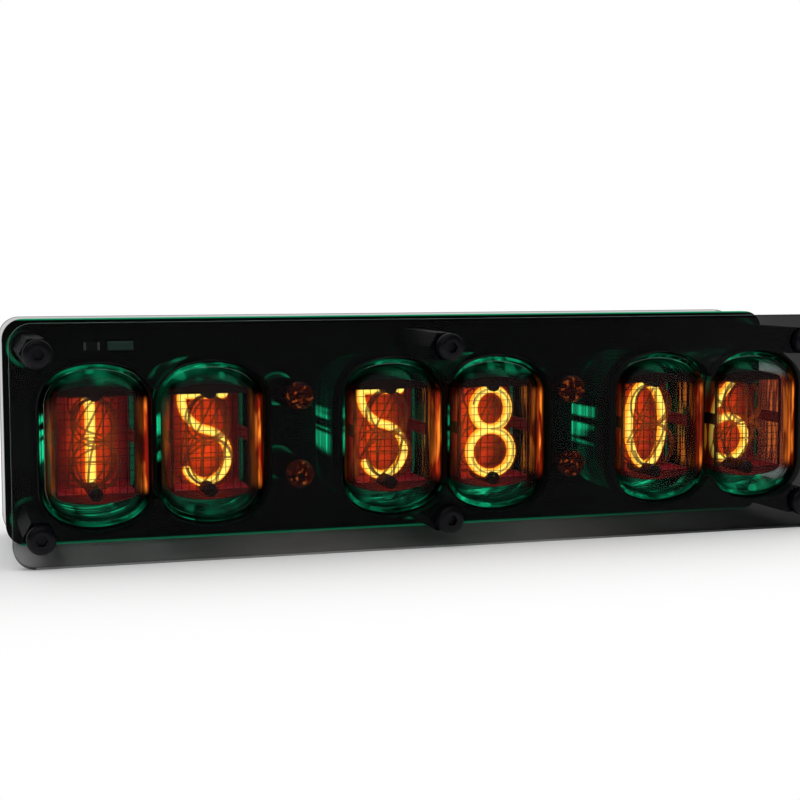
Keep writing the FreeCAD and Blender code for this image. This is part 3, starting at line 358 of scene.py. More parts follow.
def painted_wall_light(finish):
    """Painted light in a tube's walls, as a colour: green arcs, spots and glints, and orange reflected
    streaks.
    """
    x, y, z = finish.place()
    across = from_nearest_tube(x) / tube_half_width
    left_share = across * -1
    off_middle = abs(z - tube_z)
    up = off_middle / tube_half_height
    depth = ((y - tube_face_y) / (tube_back_y - tube_face_y)).clamped()
    deeper = depth * 0.7 + 0.3
    bands = finish.noise(0.6, 1.0, (0.05, 1, 0.05)).step(0.5, 0.64)
    spots = finish.noise(0.17, 1.0, (1, 0.25, 0.5)).step(0.46, 0.68)
    glints = finish.noise(0.42, 0.0, (1, 0.3, 1)).step(0.56, 0.68)
    rows = finish.noise(0.5, 0.0, (0.05, 0.05, 1)).step(0.36, 0.52)
    ends = up.step(0.7, 0.92)
    left = left_share.step(0.72, 0.95) * (1 - ends)
    outer_left = left_share.step(0.95, 0.98) * depth.step(0.4, 0.62)
    lamp_spots = off_middle.step(0.1 * MM, 0.8 * MM) * (1 - off_middle.step(3.6 * MM, 5.2 * MM)) * rows
    # painted green lamp light: arcs and glints at the ends, streaks on the left, lamp spots on the outer left
    # wall
    green = ends * (bands * 0.97 + 0.03) * (spots * 0.95 + 0.05) + left * bands * spots * 0.4
    green = green * deeper * 0.6 + outer_left * lamp_spots * (bands * 0.7 + 0.3) * 4.0
    green = green + ends * bands * glints * deeper * 1.1
    right = across.step(0.82, 0.89) * (1 - across.step(0.93, 0.97)) * (1 - up.step(0.45, 0.66))
    streak = depth.around(STREAK_DEPTH, 0.03, 0.2)
    thin = finish.noise(1.1, 2.0, (0.4, 1, 0.1)).step(0.42, 0.6)
    near = 1 - depth.step(0.1, 0.14)
    reach = 1 - up.step(0.46, 0.62)
    line = across.around(FRONT_LINE, 0.012, 0.05)
    lines = finish.noise(0.9, 1.0, (1, 0.02, 0.07)).step(0.48, 0.7)
    flank = abs(across).step(0.66, 0.76) * (1 - abs(across).step(0.9, 0.96))
    flank = flank * (lines * 0.5 + 0.06) * ((across > 0) * 0.75 + 0.25)
    front = near * reach * (line * 0.9 + flank)
    # painted orange reflection of the lit digit in the right wall and along the front edge
    orange = right * streak * thin * 0.35 + front * (thin * 0.5 + 0.5)
    orange_colour = finish.blend(thin, screen(150, 26, 8), screen(255, 138, 40))
    return finish.added(finish.dimmed(LAMP_GREEN, green), finish.dimmed(orange_colour, orange))


def tube_glass():
    finish = Finish("tube_glass")
    x, y, z = finish.place()
    offset = from_nearest_tube(x) / tube_half_width
    across = abs(offset)
    up = abs(z - tube_z) / tube_half_height
    wall = ((across * across * across + up * up * up) ** (1 / 3)).step(0.8, 0.92)
    side = offset.step(0.66, 0.76) * (1 - up.step(0.6, 0.72))
    # the tint holds painted shade on the walls and a painted dark red reflection on the right side
    tint_and_painted_shade = finish.blend(side, finish.blend(wall, TUBE_TINT, WALL_PAINTED_SHADE), SIDE_PAINTED_REFLECTION)
    light = painted_wall_light(finish)
    shader = clear_shader(finish, tint_and_painted_shade, TUBE_TINT, Emission_Color=light, Emission_Strength=1.0)
    return finish.surface(shader)


# %% [markdown]
# The pressed base sits right in front of the green lamps. It is cloudy where the leads come through, so it is
# the part that fills with green, painted as emission: most at its top and bottom, where it isn't hidden by
# the tray.

# %% Pressed glass base
def base_glass():
    finish = Finish("base_glass")
    x, y, z = finish.place()
    across = from_nearest_tube(x) / tube_half_width
    up = (z - tube_z) / tube_half_height
    ends = abs(up).step(0.45, 0.95)
    cloud = finish.noise(0.2, 2.0, (1, 0.4, 1)).step(0.4, 0.7)
    ripple = finish.noise(0.9, 1.0, (0.3, 1, 1)).step(0.4, 0.7)
    side = 0.65 - across * 0.35
    strength = (ends * 0.8 + 0.02) * (cloud * 0.93 + 0.07) * (ripple * 0.8 + 0.2) * side
    return finish.painted(
        Base_Color=finish.blend(cloud, screen(1, 4, 3), screen(3, 14, 10)),
        Roughness=ripple * 0.2 + 0.25,
        Specular_IOR_Level=0.06,
        # painted green glow of the lamps' light in the glass
        Emission_Color=finish.dimmed(finish.blend(cloud, screen(0, 84, 54), screen(30, 206, 140)), strength),
        Emission_Strength=0.4,
    )


# %% [markdown]
# The colon lamps are unlit: small domes of clear glass that look brown because the orange of the tubes and
# the dark board are all they have to show. That brown is painted into the tint as a mottled painted
# reflection, and the tip has a faint painted glow with painted glints.

# %% Colon lamp glass
lamp_tip_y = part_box("colon_lamps")[0].y
LAMP_DOME = 2.9 * MM


def lamp_glass():
    finish = Finish("lamp_glass")
    reflection_mottle = finish.noise(0.5, 2.0)
    tint_and_painted_shade = finish.blend(reflection_mottle, screen(72, 34, 28), screen(112, 58, 46))
    x, y, z = finish.place()
    tip = 1 - ((y - lamp_tip_y) / LAMP_DOME).step(0.3, 1.3)
    glint_spots = finish.noise(1.1, 1.0).step(0.6, 0.68) * tip
    # painted glow and painted glints at the tip of the dome
    painted_glow_colour = finish.dimmed(screen(120, 34, 20), reflection_mottle.step(0.3, 0.7) * tip * 0.2)
    painted_glints = finish.dimmed(screen(255, 130, 60), glint_spots * 0.7)
    light = finish.added(painted_glow_colour, painted_glints)
    passing = screen(198, 128, 112)
    shader = clear_shader(finish, tint_and_painted_shade, passing, Emission_Color=light, Emission_Strength=1.0)
    return finish.surface(shader)


# %% [markdown]
# ## The lit tube
#
# The metal tray is the reflector behind the digits. Its inside carries the lit digit's glow as painted light:
# deep orange-red near the lit digit and maroon toward the rim, with fine upright streaks, in a painted dark
# red base colour and a painted emission that keeps that colour under studio lamps. Its outside is dark. Its
# edge is where the tray's wall starts.

# %% Tray metal
tray_low, tray_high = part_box("tube_1_tray")
tray_half_width = (tray_high.x - tray_low.x) / 2
tray_half_height = (tray_high.z - tray_low.z) / 2
TRAY_WALL = 0.3 * MM
TRAY_END_RADIUS = 24.0 * MM


def tray_metal():
    finish = Finish("tray_metal")
    x, y, z = finish.place()
    offset = from_nearest_tube(x)
    across = abs(offset) / tray_half_width
    up = abs(z - tube_z) / tray_half_height
    end_curve = offset * offset / (2 * TRAY_END_RADIUS)
    skin = TRAY_WALL / 2
    inside = (abs(offset) < tray_half_width - skin) * (y < tray_high.y - skin)
    inside = inside * (abs(z - tube_z) + end_curve < tray_half_height - skin)
    # painted glow of the lit digit, brightest in the middle of the tray
    painted_glow_share = (1 - (across * across + up * up * up * 0.5).root().step(0.05, 1.1)) ** 1.2 * 0.9
    streaks = finish.noise(1.3, 3.0, (1, 0.6, 0.04))
    cloud = finish.noise(0.22, 2.0).step(0.25, 0.75)
    # a little more painted glow near the tray's lower end
    foot = ((tube_z - z) / tray_half_height).step(0.72, 0.86) * 0.35
    strength = (painted_glow_share + 0.16 + foot) * (streaks * 0.9 + 0.5) * (cloud * 0.55 + 0.6) * inside
    painted_glow_colour = finish.blend(painted_glow_share * 1.1, screen(132, 14, 26), screen(236, 66, 8))
    painted_red_lining = finish.blend(streaks, screen(22, 5, 5), screen(36, 9, 8))
    return finish.painted(
        Base_Color=finish.blend(inside, screen(6, 4, 4), painted_red_lining),
        Metallic=0.1,
        Roughness=streaks * 0.25 + 0.5,
        Specular_IOR_Level=0.05,
        Emission_Color=finish.dimmed(painted_glow_colour, strength),
        Emission_Strength=0.95,
        Normal=finish.bump(streaks, 0.02 * MM, 0.4),
    )


# %% [markdown]
# The anode mesh and the unlit digits are thin dark metal in the glow, so each wire has a painted dull orange
# glow, brightest near the middle of its tube. Real wires are about half as wide as these solids, so the
# finish lets part of what is behind through, which looks the same. Above the grid the mesh is a solid dark
# strip.

# %% Mesh and cathode metal
GRID_REACH = 9.35 * MM
WIRE_GLOW = 0.4
WIRE_COVER = 0.5


def wire_metal(name, dark, light, near_colour, far_colour):
    finish = Finish(name)
    x, y, z = finish.place()
    mottle = finish.noise(2.5, 2.0)
    across = from_nearest_tube(x) / tray_half_width
    up = (z - tube_z) / tray_half_height
    away = (across * across + up * up).root().step(0.1, 0.95)
    painted_glow_tone = finish.blend(away, near_colour, far_colour)
    return finish.painted(
        Base_Color=finish.blend(mottle, dark, light),
        Metallic=0.3,
        Roughness=mottle * 0.2 + 0.45,
        Specular_IOR_Level=0.06,
        # painted glow of the lit digit on the wire
        Emission_Color=finish.dimmed(painted_glow_tone, mottle * 0.8 + 0.6),
        Emission_Strength=WIRE_GLOW,
        Alpha=((mottle - 0.5) * 0.2 + WIRE_COVER + (z - tube_z > GRID_REACH)).at_most(1.0),
    )


# %% [markdown]
# The ceramic columns and the backplate are dull and dark. Behind the backplate sit the pressed base and the
# green lamps, so the backplate has a faint painted green rim of their light, where it lets that light past.

# %% Ceramic, plastic and other plain finishes
def plain_finish(name, dark, light, grain, roughness, metallic=0.0, relief=0.01, **more):
    """A surface with two close shades in a fine mottle, varied gloss and a slight relief."""
    finish = Finish(name)
    mottle = finish.noise(grain, 3.0)
    fine = finish.noise(grain * 6, 2.0)
    return finish.painted(
        Base_Color=finish.blend(mottle.step(0.3, 0.7), screen(*dark), screen(*light)),
        Metallic=metallic,
        Roughness=fine * 0.18 + roughness,
        Normal=finish.bump(mottle, relief * MM, 0.3),
        **more,
    )


RIM_START = 11.5 * MM
RIM_END = 13.5 * MM


def lit_ceramic():
    finish = Finish("dark_ceramic")
    x, y, z = finish.place()
    across = from_nearest_tube(x)
    up = z - tube_z
    painted_rim_light = ((across * across) * 2.6 + up * up).root().step(RIM_START, RIM_END)
    grain = finish.noise(1.5, 3.0)
    return finish.painted(
        Base_Color=finish.blend(grain, screen(12, 6, 8), screen(24, 12, 14)),
        Roughness=grain * 0.2 + 0.55,
        Specular_IOR_Level=0.08,
        # painted green lamp light on the backplate's rim
        Emission_Color=finish.dimmed(LAMP_GREEN, painted_rim_light * grain * 0.5),
        Emission_Strength=0.35,
    )


# %% [markdown]
# ## Board finish
#
# The board is glass fibre under black solder mask. On it are faint raised copper tracks, and painted green
# lamp
# light: rings round the standoffs and lamps, a soft pool at the foot of each tube, and thin lines along its
# lower and upper edges. All are worked out from distances on the board's plane.

# %% Black board
standoff_low, standoff_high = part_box("front_standoffs")
lamp_low, lamp_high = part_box("colon_lamps")
STANDOFF_RADIUS = 2.75 * MM
STANDOFF_CORNER = STANDOFF_RADIUS * 1.155
STANDOFF_RING = 3.9 * MM
LAMP_RADIUS = 2.9 * MM
LAMP_RING = 3.3 * MM
POOL_START = 9 * MM
POOL_END = 17 * MM
TRACK_PITCH = 1.9 * MM


def nearest_of(value, places):
    """The smallest distance from value to any of the places on one axis."""
    distances = [abs(value - place) for place in places]
    least = distances[0]
    for distance in distances[1:]:
        least = least.at_most(distance)
    return least


def ring_mask(x, z, low, high, inset, more_x, radius, width):
    """1 on rings round the crossings of x and z places, which lie inset from a box's sides."""
    dx = nearest_of(x, [low.x + inset[0], *more_x, high.x - inset[0]])
    dz = nearest_of(z, [low.z + inset[1], high.z - inset[1]])
    return (dx * dx + dz * dz).root().around(radius, width * 0.35, width)


def near_edge(z, below, above):
    """1 within `below` of the board's lower edge and within `above` of its upper edge."""
    return (z < board_low.z + below).at_least(z > board_high.z - above)


def black_board():
    finish = Finish("black_board")
    x, y, z = finish.place()
    inset = (STANDOFF_CORNER, STANDOFF_RADIUS)
    rings = ring_mask(x, z, standoff_low, standoff_high, inset, [0.0], STANDOFF_RING, 0.55 * MM)
    inset = (LAMP_RADIUS, LAMP_RADIUS)
    small_rings = ring_mask(x, z, lamp_low, lamp_high, inset, [], LAMP_RING, 0.35 * MM)
    patchy = finish.noise(0.12, 1.0).step(0.45, 0.75)
    across = from_nearest_tube(x)
    away = (across * across * 1.8 + (z - tube_z) * (z - tube_z)).root()
    pool = 1 - away.step(POOL_START, POOL_END)
    front = y < (board_low.y + board_high.y) / 2
    edge = near_edge(z, 0.06 * MM, 0.06 * MM)
    front_line = near_edge(z, 0.4 * MM, 0.25 * MM)
    # painted green lamp light: rings, a pool at each tube's foot, and lines along the edges
    painted_lamp_light = rings * patchy * 0.9 + small_rings * (patchy + 0.25) * 1.1
    painted_lamp_light = painted_lamp_light + pool * 0.05 + front_line * 0.5 + edge * 0.1
    track = (z / TRACK_PITCH + finish.noise(0.02, 0.0) * 5).math("FRACT")
    tracks = track.around(0.5, 0.12, 0.16) * finish.noise(0.05, 0.0).step(0.5, 0.52)
    grain = finish.noise(0.8, 3.0)
    return finish.painted(
        Base_Color=finish.blend(tracks, screen(2, 3, 3), screen(8, 12, 10)),
        Roughness=grain * 0.15 + 0.42,
        Specular_IOR_Level=0.1,
        Emission_Color=finish.dimmed(LAMP_GREEN, painted_lamp_light * front),
        Emission_Strength=1.0,
        Normal=finish.bump(tracks, 0.02 * MM, 0.3),
    )


# %% [markdown]
# ## Lamps behind the tubes
#
# Each surface-mounted lamp is a pale moulded body with a well in its face. Only the well glows, so the
# emission is masked by how far a point lies from the middle of its lamp.

# %% Green lamps
led_z = [tube_z - led_offset, tube_z + led_offset]
WELL_START = 0.9 * MM
WELL_END = 1.5 * MM


def led_body():
    finish = Finish("led_body")
    x, y, z = finish.place()
    across = from_nearest_tube(x)
    up = nearest_of(z, led_z)
    well = 1 - (across * across + up * up).root().step(WELL_START, WELL_END)
    return finish.painted(
        Base_Color=finish.blend(well, screen(170, 190, 180), screen(120, 235, 190)),
        Roughness=0.4,
        Emission_Color=finish.dimmed(LAMP_GREEN, well * 5.5 + 0.5),
        Emission_Strength=2.0,
    )


# %% [markdown]
# ## Chips and small parts
#
# The parts on the back of the board are seen through the smoked rear cover. A chip resistor or capacitor has
# bright plated ends on a coloured body, and a moulded chip has plated legs beside a black body. Which end a
# point belongs to is read from how far it lies from the body's middle.

# %% Parts with plated ends
PLATING = screen(196, 194, 188)
ROW_LENGTH = 20 * MM
PLATING_MARGIN = 0.1 * MM


def plated_ends(name, body, half_lengths, roughness):
    """A chip part repeated along X: plated where it is further than its half length from its own middle."""
    finish = Finish(name)
    x, y, z = finish.place()
    ends = []
    for node, half_length in half_lengths.items():
        low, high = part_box(node)
        middles = [(low.x + high.x) / 2]
        if high.x - low.x > ROW_LENGTH:
            middles = [float(tube_middle[n][0]) for n in TUBES]
        inside = (z > low.z - PLATING_MARGIN) * (z < high.z + PLATING_MARGIN)
        ends.append((nearest_of(x, middles) > half_length) * inside)
    far = ends[0]
    for end in ends[1:]:
        far = far.at_least(end)
    grain = finish.noise(3.0, 2.0)
    shade = finish.blend(grain, body, tuple(c * 1.35 for c in body[:3]) + (1.0,))
    return finish.painted(
        Base_Color=finish.blend(far, shade, PLATING),
        Metallic=far * 0.9,
        Roughness=grain * 0.15 + roughness,
    )


# %% [markdown]
# A moulded chip's legs stand outside its body. The body's half size across the legs is known, so a point
# further out than that, or lower than the legs' top, is plated.

# %% Moulded chips with legs
LEG_TOP = 0.3 * MM
BODY_HALF = 3.22 * MM
LEG_REACH = 4.3 * MM


def chip_plastic():
    finish = Finish("chip_plastic")
    x, y, z = finish.place()
    low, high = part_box("decoder_chip")
    aside = abs(x - (low.x + high.x) / 2)
    beside = (aside > BODY_HALF) * (aside < LEG_REACH)
    legs = (y < board_high.y + LEG_TOP).at_least(beside)
    grain = finish.noise(4.0, 3.0)
    moulded = finish.blend(grain, screen(22, 22, 23), screen(34, 34, 36))
    return finish.painted(
        Base_Color=finish.blend(legs, moulded, PLATING),
        Metallic=legs * 0.9,
        Roughness=grain * 0.2 + 0.4,
        Normal=finish.bump(grain, 0.02 * MM, 0.6),
    )


# %% [markdown]
# ## Give every node its finish
#
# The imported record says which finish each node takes. A dictionary from finish name to material covers them
# all. Most are plain ones, which differ only in the two shades, the bumps a millimetre, the roughness and
# what else is set. The loop prints any node without a material, so that none is left plain.

# %% All the finishes
METAL = {"metallic": 1.0}
plain = {
    "black_nylon": ((2, 2, 3), (4, 4, 6), 0.8, 0.4, {"Specular_IOR_Level": 0.1}),
    "black_steel": ((3, 3, 6), (8, 7, 14), 1.2, 0.3, {"Specular_IOR_Level": 0.16}),
    "tinned_pins": ((168, 168, 164), (206, 206, 200), 1.5, 0.22, METAL),
    "gold_contacts": ((190, 142, 58), (226, 184, 96), 1.5, 0.2, METAL),
    "sensor_body": ((52, 92, 82), (70, 116, 104), 2.0, 0.35, {}),
    "ferrite": ((58, 58, 60), (78, 78, 80), 1.5, 0.55, {"relief": 0.05}),
    "capacitor_sleeve": ((16, 26, 62), (24, 36, 80), 0.6, 0.25, {}),
    "holder_plastic": ((24, 24, 26), (38, 38, 40), 1.5, 0.4, {}),
    "cell_steel": ((182, 182, 184), (214, 214, 214), 0.8, 0.2, METAL),
    "socket_steel": ((170, 172, 174), (204, 206, 206), 1.0, 0.24, METAL),
    "switch_plastic": ((40, 40, 42), (58, 58, 60), 1.5, 0.4, {}),
    "button_plastic": ((26, 26, 28), (42, 42, 44), 1.5, 0.35, {}),
}
finishes = {name: plain_finish(name, *look, **more) for name, (*look, more) in plain.items()}
resistors = {"anode_resistors": 1.15 * MM, "front_resistor": 1.15 * MM}
capacitors = {"chip_capacitors": 0.65 * MM}
# wire shades: dark and light metal, then the painted glow near the middle and far from it
mesh_shades = [screen(4, 2, 2), screen(12, 5, 5), screen(70, 20, 8), screen(20, 4, 4)]
cathode_shades = [screen(18, 7, 4), screen(36, 16, 9), screen(190, 80, 22), screen(80, 18, 14)]
finishes |= {
    "smoked_acrylic": smoked_acrylic(),
    "tube_glass": tube_glass(),
    "lamp_glass": lamp_glass(),
    "tray_metal": tray_metal(),
    "mesh_metal": wire_metal("mesh_metal", *mesh_shades),
    "cathode_metal": wire_metal("cathode_metal", *cathode_shades),
    "dark_ceramic": lit_ceramic(),
    "black_board": black_board(),
    "led_body": led_body(),
    "chip_plastic": chip_plastic(),
    "chip_ceramic": plated_ends("chip_ceramic", screen(20, 20, 22), resistors, 0.3),
    "capacitor_ceramic": plated_ends("capacitor_ceramic", screen(150, 118, 82), capacitors, 0.35),
}
slots = {part["node"]: part["material_slot"] for part in record["subparts"]}
own_finish = {"tube_bases": base_glass()}
missing = []
for name, node in nodes.items():
    material = own_finish.get(name, finishes.get(slots[name]))
    if material is None:
        missing.append(name)
        continue
    node.data.materials.clear()
    node.data.materials.append(material)
print("finished", len(nodes) - len(missing), "nodes; without a finish:", missing)

# %% [markdown]
# ## The glow round a lit digit
#
# A lit cathode hides in a sheath of glowing gas about two millimetres wide. A closed skin, bright yellow in
# front and orange at its sides, looks the same from any angle. It follows the digit's own strokes, so first
# they are needed as points: straight runs and arcs through three points, in shares of the digit's half size.

# %% The strokes of the digits that are lit
GLOW_STEP = 0.25 * MM
OVAL_POINTS = 140
DIGIT_HALF = np.array([4.575, 8.775]) * MM


def arc_points(start, bend, end):
    """Points along the circle through three points, from start to end, about GLOW_STEP apart.

    The centre is where the perpendicular bisectors of the two chords meet; the angle runs from start to end
    on the side that holds the bend.
    """
    start, bend, end = (np.array(p) * DIGIT_HALF for p in (start, bend, end))
    sides = np.array([bend - start, end - bend])
    centre = np.linalg.solve(sides, np.array([sides[0] @ (bend + start), sides[1] @ (end + bend)]) / 2)
    radius = np.linalg.norm(start - centre)
    angles = [math.atan2(*(p - centre)[::-1]) for p in (start, bend, end)]
    turn = (angles[2] - angles[0]) % math.tau
    if (angles[1] - angles[0]) % math.tau > turn:
        turn -= math.tau
    count = max(int(abs(turn) * radius / GLOW_STEP), 2)
    swept = angles[0] + np.linspace(0, turn, count)
    return centre + radius * np.stack([np.cos(swept), np.sin(swept)], axis=1)


def line_points(start, end):
    """Points along a straight run, about GLOW_STEP apart."""
    start, end = (np.array(p) * DIGIT_HALF for p in (start, end))
    count = max(int(np.linalg.norm(end - start) / GLOW_STEP), 2)
    return start + np.linspace(0, 1, count)[:, None] * (end - start)


def oval_points(x, z, half_width, half_height):
    """A closed oval: centre plus half sizes times cosine and sine."""
    angle = np.linspace(0, math.tau, OVAL_POINTS)
    shares = np.stack([x + half_width * np.cos(angle), z + half_height * np.sin(angle)], axis=1)
    return shares * DIGIT_HALF


def joined(*runs):
    """Runs end to end as one path, with the shared points kept once."""
    return np.concatenate([runs[0], *(run[1:] for run in runs[1:])])


strokes = {
    "1": [joined(line_points((-0.26, 1), (0, 0.78)), line_points((0, 0.78), (0, -1)))],
    "5": [
        joined(
            line_points((1, 1), (-1, 1)),
            arc_points((-1, 1), (-0.66, 0.42), (0.12, 0.18)),
            arc_points((0.12, 0.18), (0.98, -0.42), (-0.05, -1)),
            arc_points((-0.05, -1), (-0.55, -0.89), (-0.86, -0.62)),
        )
    ],
    "8": [oval_points(0, 0.53, 0.82, 0.47), oval_points(0, -0.48, 1, 0.52)],
    "0": [oval_points(0, 0, 0.86, 1)],
    "6": [
        joined(
            arc_points((0.32, 1), (-0.58, 0.36), (-0.95, -0.47)),
            arc_points((-0.95, -0.47), (-0.67, -0.845), (0, -1)),
            arc_points((0, -1), (0.67, -0.845), (0.95, -0.47)),
            arc_points((0.95, -0.47), (0.67, -0.095), (0, 0.06)),
            arc_points((0, 0.06), (-0.45, 0), (-0.8, -0.2)),
        )
    ],
}
print("points along the strokes:", {digit: [len(s) for s in paths] for digit, paths in strokes.items()})

# %% [markdown]
# Which layer of the stack is lit sets how deep the glow sits. The stack runs front to back in the order
# below, and the first and last layers lie at the ends of the digits' own box.

# %% Which digit glows in each tube, and how deep
STACK = "3894057261"
SHOWN = "155806"
CATHODE_HALF = 0.125 * MM


def layer_y(number, digit):
    """The mid plane of a digit's cathode in one tube."""
    low, high = digit_boxes[number]
    share = STACK.index(digit) / (DIGIT_COUNT - 1)
    return float(low.y + CATHODE_HALF + (high.y - low.y - 2 * CATHODE_HALF) * share)


# %% [markdown]
# The glow, its halo and the dark rings of painted shade further down all follow a path in an upright plane.
# Three short functions serve them: one finds the direction across the path at each point, one turns flat
# points into points of the model, and one lists the quads of a grid.

# %% Grids along a path
SAME_POINT = 1e-9


def path_frame(path):
    """A path without its repeated end, the unit vectors across it, and whether it is closed.

    Across is the direction from each point's neighbour before to the one after, turned by a right angle.
    """
    closed = bool(np.linalg.norm(path[0] - path[-1]) < SAME_POINT)
    if closed:
        path = path[:-1]
        along = np.roll(path, -1, axis=0) - np.roll(path, 1, axis=0)
    else:
        along = np.gradient(path, axis=0)
    along /= np.linalg.norm(along, axis=1, keepdims=True)
    return path, np.stack([along[:, 1], -along[:, 0]], axis=1), closed


def upright(flat, depth):
    """Points (x, depth, z) from flat points (x, z), one row each."""
    depth = np.broadcast_to(depth, flat.shape[:-1])
    return np.stack([flat[..., 0], depth, flat[..., 1]], axis=-1).reshape(-1, 3)


def grid_faces(rows, columns, wrap_rows, wrap_columns=True):
    """Quads of a grid of points. Rows and columns may each wrap round to their start."""
    row = np.arange(rows if wrap_rows else rows - 1)[:, None]
    column = np.arange(columns if wrap_columns else columns - 1)[None, :]
    following = (row + 1) % rows
    beside = (column + 1) % columns
    corners = [row * columns + column, following * columns + column]
    corners += [following * columns + beside, row * columns + beside]
    return np.stack(corners, axis=-1).reshape(-1, 4)


def strip_faces(rows, columns, wrap_rows):
    """The quads of a flat strip, wound the other way round."""
    return grid_faces(rows, columns, wrap_rows, False)[:, [0, 3, 2, 1]]


# %% [markdown]
# The skin's own attribute says how far to the side each point lies, and the finish turns that into colour:
# pale yellow in front, amber at the sides. A slow noise makes the light a little uneven along the stroke.

# %% Glow finish
def glow_finish():
    finish = Finish("neon_glow")
    side = finish.node("ShaderNodeAttribute", {"attribute_name": "sideways"}, output="Fac")
    uneven = finish.noise(0.5, 2.0)
    warmth = (side.step(0.35, 1.0) + (uneven - 0.5) * 0.6).clamped()
    colour = finish.blend(warmth, screen(255, 214, 94), screen(255, 150, 30))
    return finish.painted(
        Base_Color=(0, 0, 0, 1),
        Roughness=0.6,
        Specular_IOR_Level=0.0,
        Emission_Color=finish.dimmed(colour, uneven * 0.5 + 0.95),
        Emission_Strength=1.25,
    )


def make_piece(name, points, faces, material, body="root"):
    """One mesh object at the origin that rides on a body and takes a finish."""
    mesh = bpy.data.meshes.new(name)
    mesh.from_pydata(np.asarray(points).tolist(), [], [list(face) for face in faces])
    mesh.polygons.foreach_set("use_smooth", [True] * len(mesh.polygons))
    mesh.materials.append(material)
    mesh.validate()
    mesh.update()
    piece = bpy.data.objects.new(name, mesh)
    bpy.context.scene.collection.objects.link(piece)
    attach(piece, body)
    return piece


def add_number(piece, name, values):
    """Stores one number for each point of a piece, under a name that finishes can read."""
    layer = piece.data.attributes.new(name, "FLOAT", "POINT")
    layer.data.foreach_set("value", np.asarray(values, dtype=np.float32))


# %% [markdown]
# The skin is a flattened tube swept along each stroke, rounded off at open ends.

# %% Skins of glowing gas
GLOW_HALF_WIDTH = 0.92 * MM
GLOW_HALF_DEPTH = 1.0 * MM
GLOW_SIDES = 14
LEAST_TAPER = 0.02
UPRIGHT_GLOW = 1.2


def swept_skin(path, depth, half_width):
    """Points path + across * cos * half_width, at depth + sin * GLOW_HALF_DEPTH, with a round taper.

    Returns points, faces and, for each point, how far to the side it lies (0 in front, 1 at the side).
    """
    path, across, closed = path_frame(path)
    taper = np.ones(len(path))
    if not closed:
        run = np.arange(len(path)) * GLOW_STEP
        ends = np.minimum(run, run[::-1])
        taper = np.sqrt(1 - (1 - np.clip(ends / half_width, LEAST_TAPER, 1)) ** 2)
    angle = np.linspace(0, math.tau, GLOW_SIDES, endpoint=False)
    side = np.cos(angle)[None, :] * half_width * taper[:, None]
    rise = np.sin(angle)[None, :] * GLOW_HALF_DEPTH * taper[:, None]
    flat = path[:, None, :] + across[:, None, :] * side[..., None]
    faces = grid_faces(len(path), GLOW_SIDES, closed).tolist()
    if not closed:
        faces.append(list(range(GLOW_SIDES))[::-1])
        faces.append(list(range((len(path) - 1) * GLOW_SIDES, len(path) * GLOW_SIDES)))
    return upright(flat, depth + rise), faces, np.tile(np.abs(np.cos(angle)), len(path))


def gas_piece(number, digit, kind, material, strip, *sizes):
    """One piece from all the strokes of a digit, each made by strip(path, *sizes)."""
    place = np.array([tube_middle[number][0], tube_z])
    points, faces, sides = zip(*[strip(path + place, *sizes) for path in strokes[digit]])
    starts = np.cumsum([0, *map(len, points)]).tolist()
    faces = [[start + k for k in face] for start, part in zip(starts, faces) for face in part]
    piece = make_piece(f"tube_{number}_{kind}", np.concatenate(points), faces, material)
    add_number(piece, "sideways", np.concatenate(sides))


neon_glow = glow_finish()
for number, digit in zip(TUBES, SHOWN):
    half_width = GLOW_HALF_WIDTH * (UPRIGHT_GLOW if digit == "1" else 1.0)
    gas_piece(number, digit, "glow", neon_glow, swept_skin, layer_y(number, digit), half_width)
print("glow skins on", len(SHOWN), "digits")

# %% [markdown]
# ## The halo
#
# Round the bright skin the gas fades out over another millimetre. A flat ribbon in the digit's plane, with
# an alpha that falls to nothing at its edges, gives that soft edge from the front without hiding the wires
# behind it.

# %% Soft ribbons round the glow
HALO_HALF_WIDTH = 1.7 * MM
HALO_COLUMNS = 9
HALO_BEHIND = 0.3 * MM


def halo_finish():
    finish = Finish("neon_halo")
    side = finish.node("ShaderNodeAttribute", {"attribute_name": "sideways"}, output="Fac")
    fade = (1 - side).clamped() ** 1.6
    return finish.painted(
        Base_Color=(0, 0, 0, 1),
        Roughness=0.8,
        Specular_IOR_Level=0.0,
        Emission_Color=screen(255, 96, 10),
        Emission_Strength=1.1,
        Alpha=fade * 0.75,
    )


def ribbon(path, depth):
    """A flat strip: path + across * share * HALO_HALF_WIDTH, with |share| kept for each point."""
    path, across, closed = path_frame(path)
    share = np.linspace(-1, 1, HALO_COLUMNS)
    flat = path[:, None, :] + across[:, None, :] * share[None, :, None] * HALO_HALF_WIDTH
    faces = strip_faces(len(path), HALO_COLUMNS, closed).tolist()
    return upright(flat, depth), faces, np.tile(np.abs(share), len(path))


neon_halo = halo_finish()
for number, digit in zip(TUBES, SHOWN):
    gas_piece(number, digit, "halo", neon_halo, ribbon, layer_y(number, digit) + HALO_BEHIND)
print("halos made")

# %% [markdown]
# ## Painted shade rings behind the front cover
#
# Half a millimetre is left between each tube and its window, and the tube's front edge is rounded, so a
# bright line would shine through past the tube. A thin black ring behind the cover, a dark sheet of painted
# shade, closes the slit. Its path is the tube's own outline: the outermost points of the glass, in their
# order round the middle.

# %% Painted shade rings round the tubes
SHADE_RING_DEPTH = cover_high.y + 0.8 * MM
SHADE_RING_WIDTH = 1.6 * MM
SHADE_RING_NECK = 0.5 * MM
SHADE_RING_POINTS = 180
SHADE_RING_DIRECTIONS = 4 * SHADE_RING_POINTS
NECK_START = 0.2
NECK_FADE = 0.3


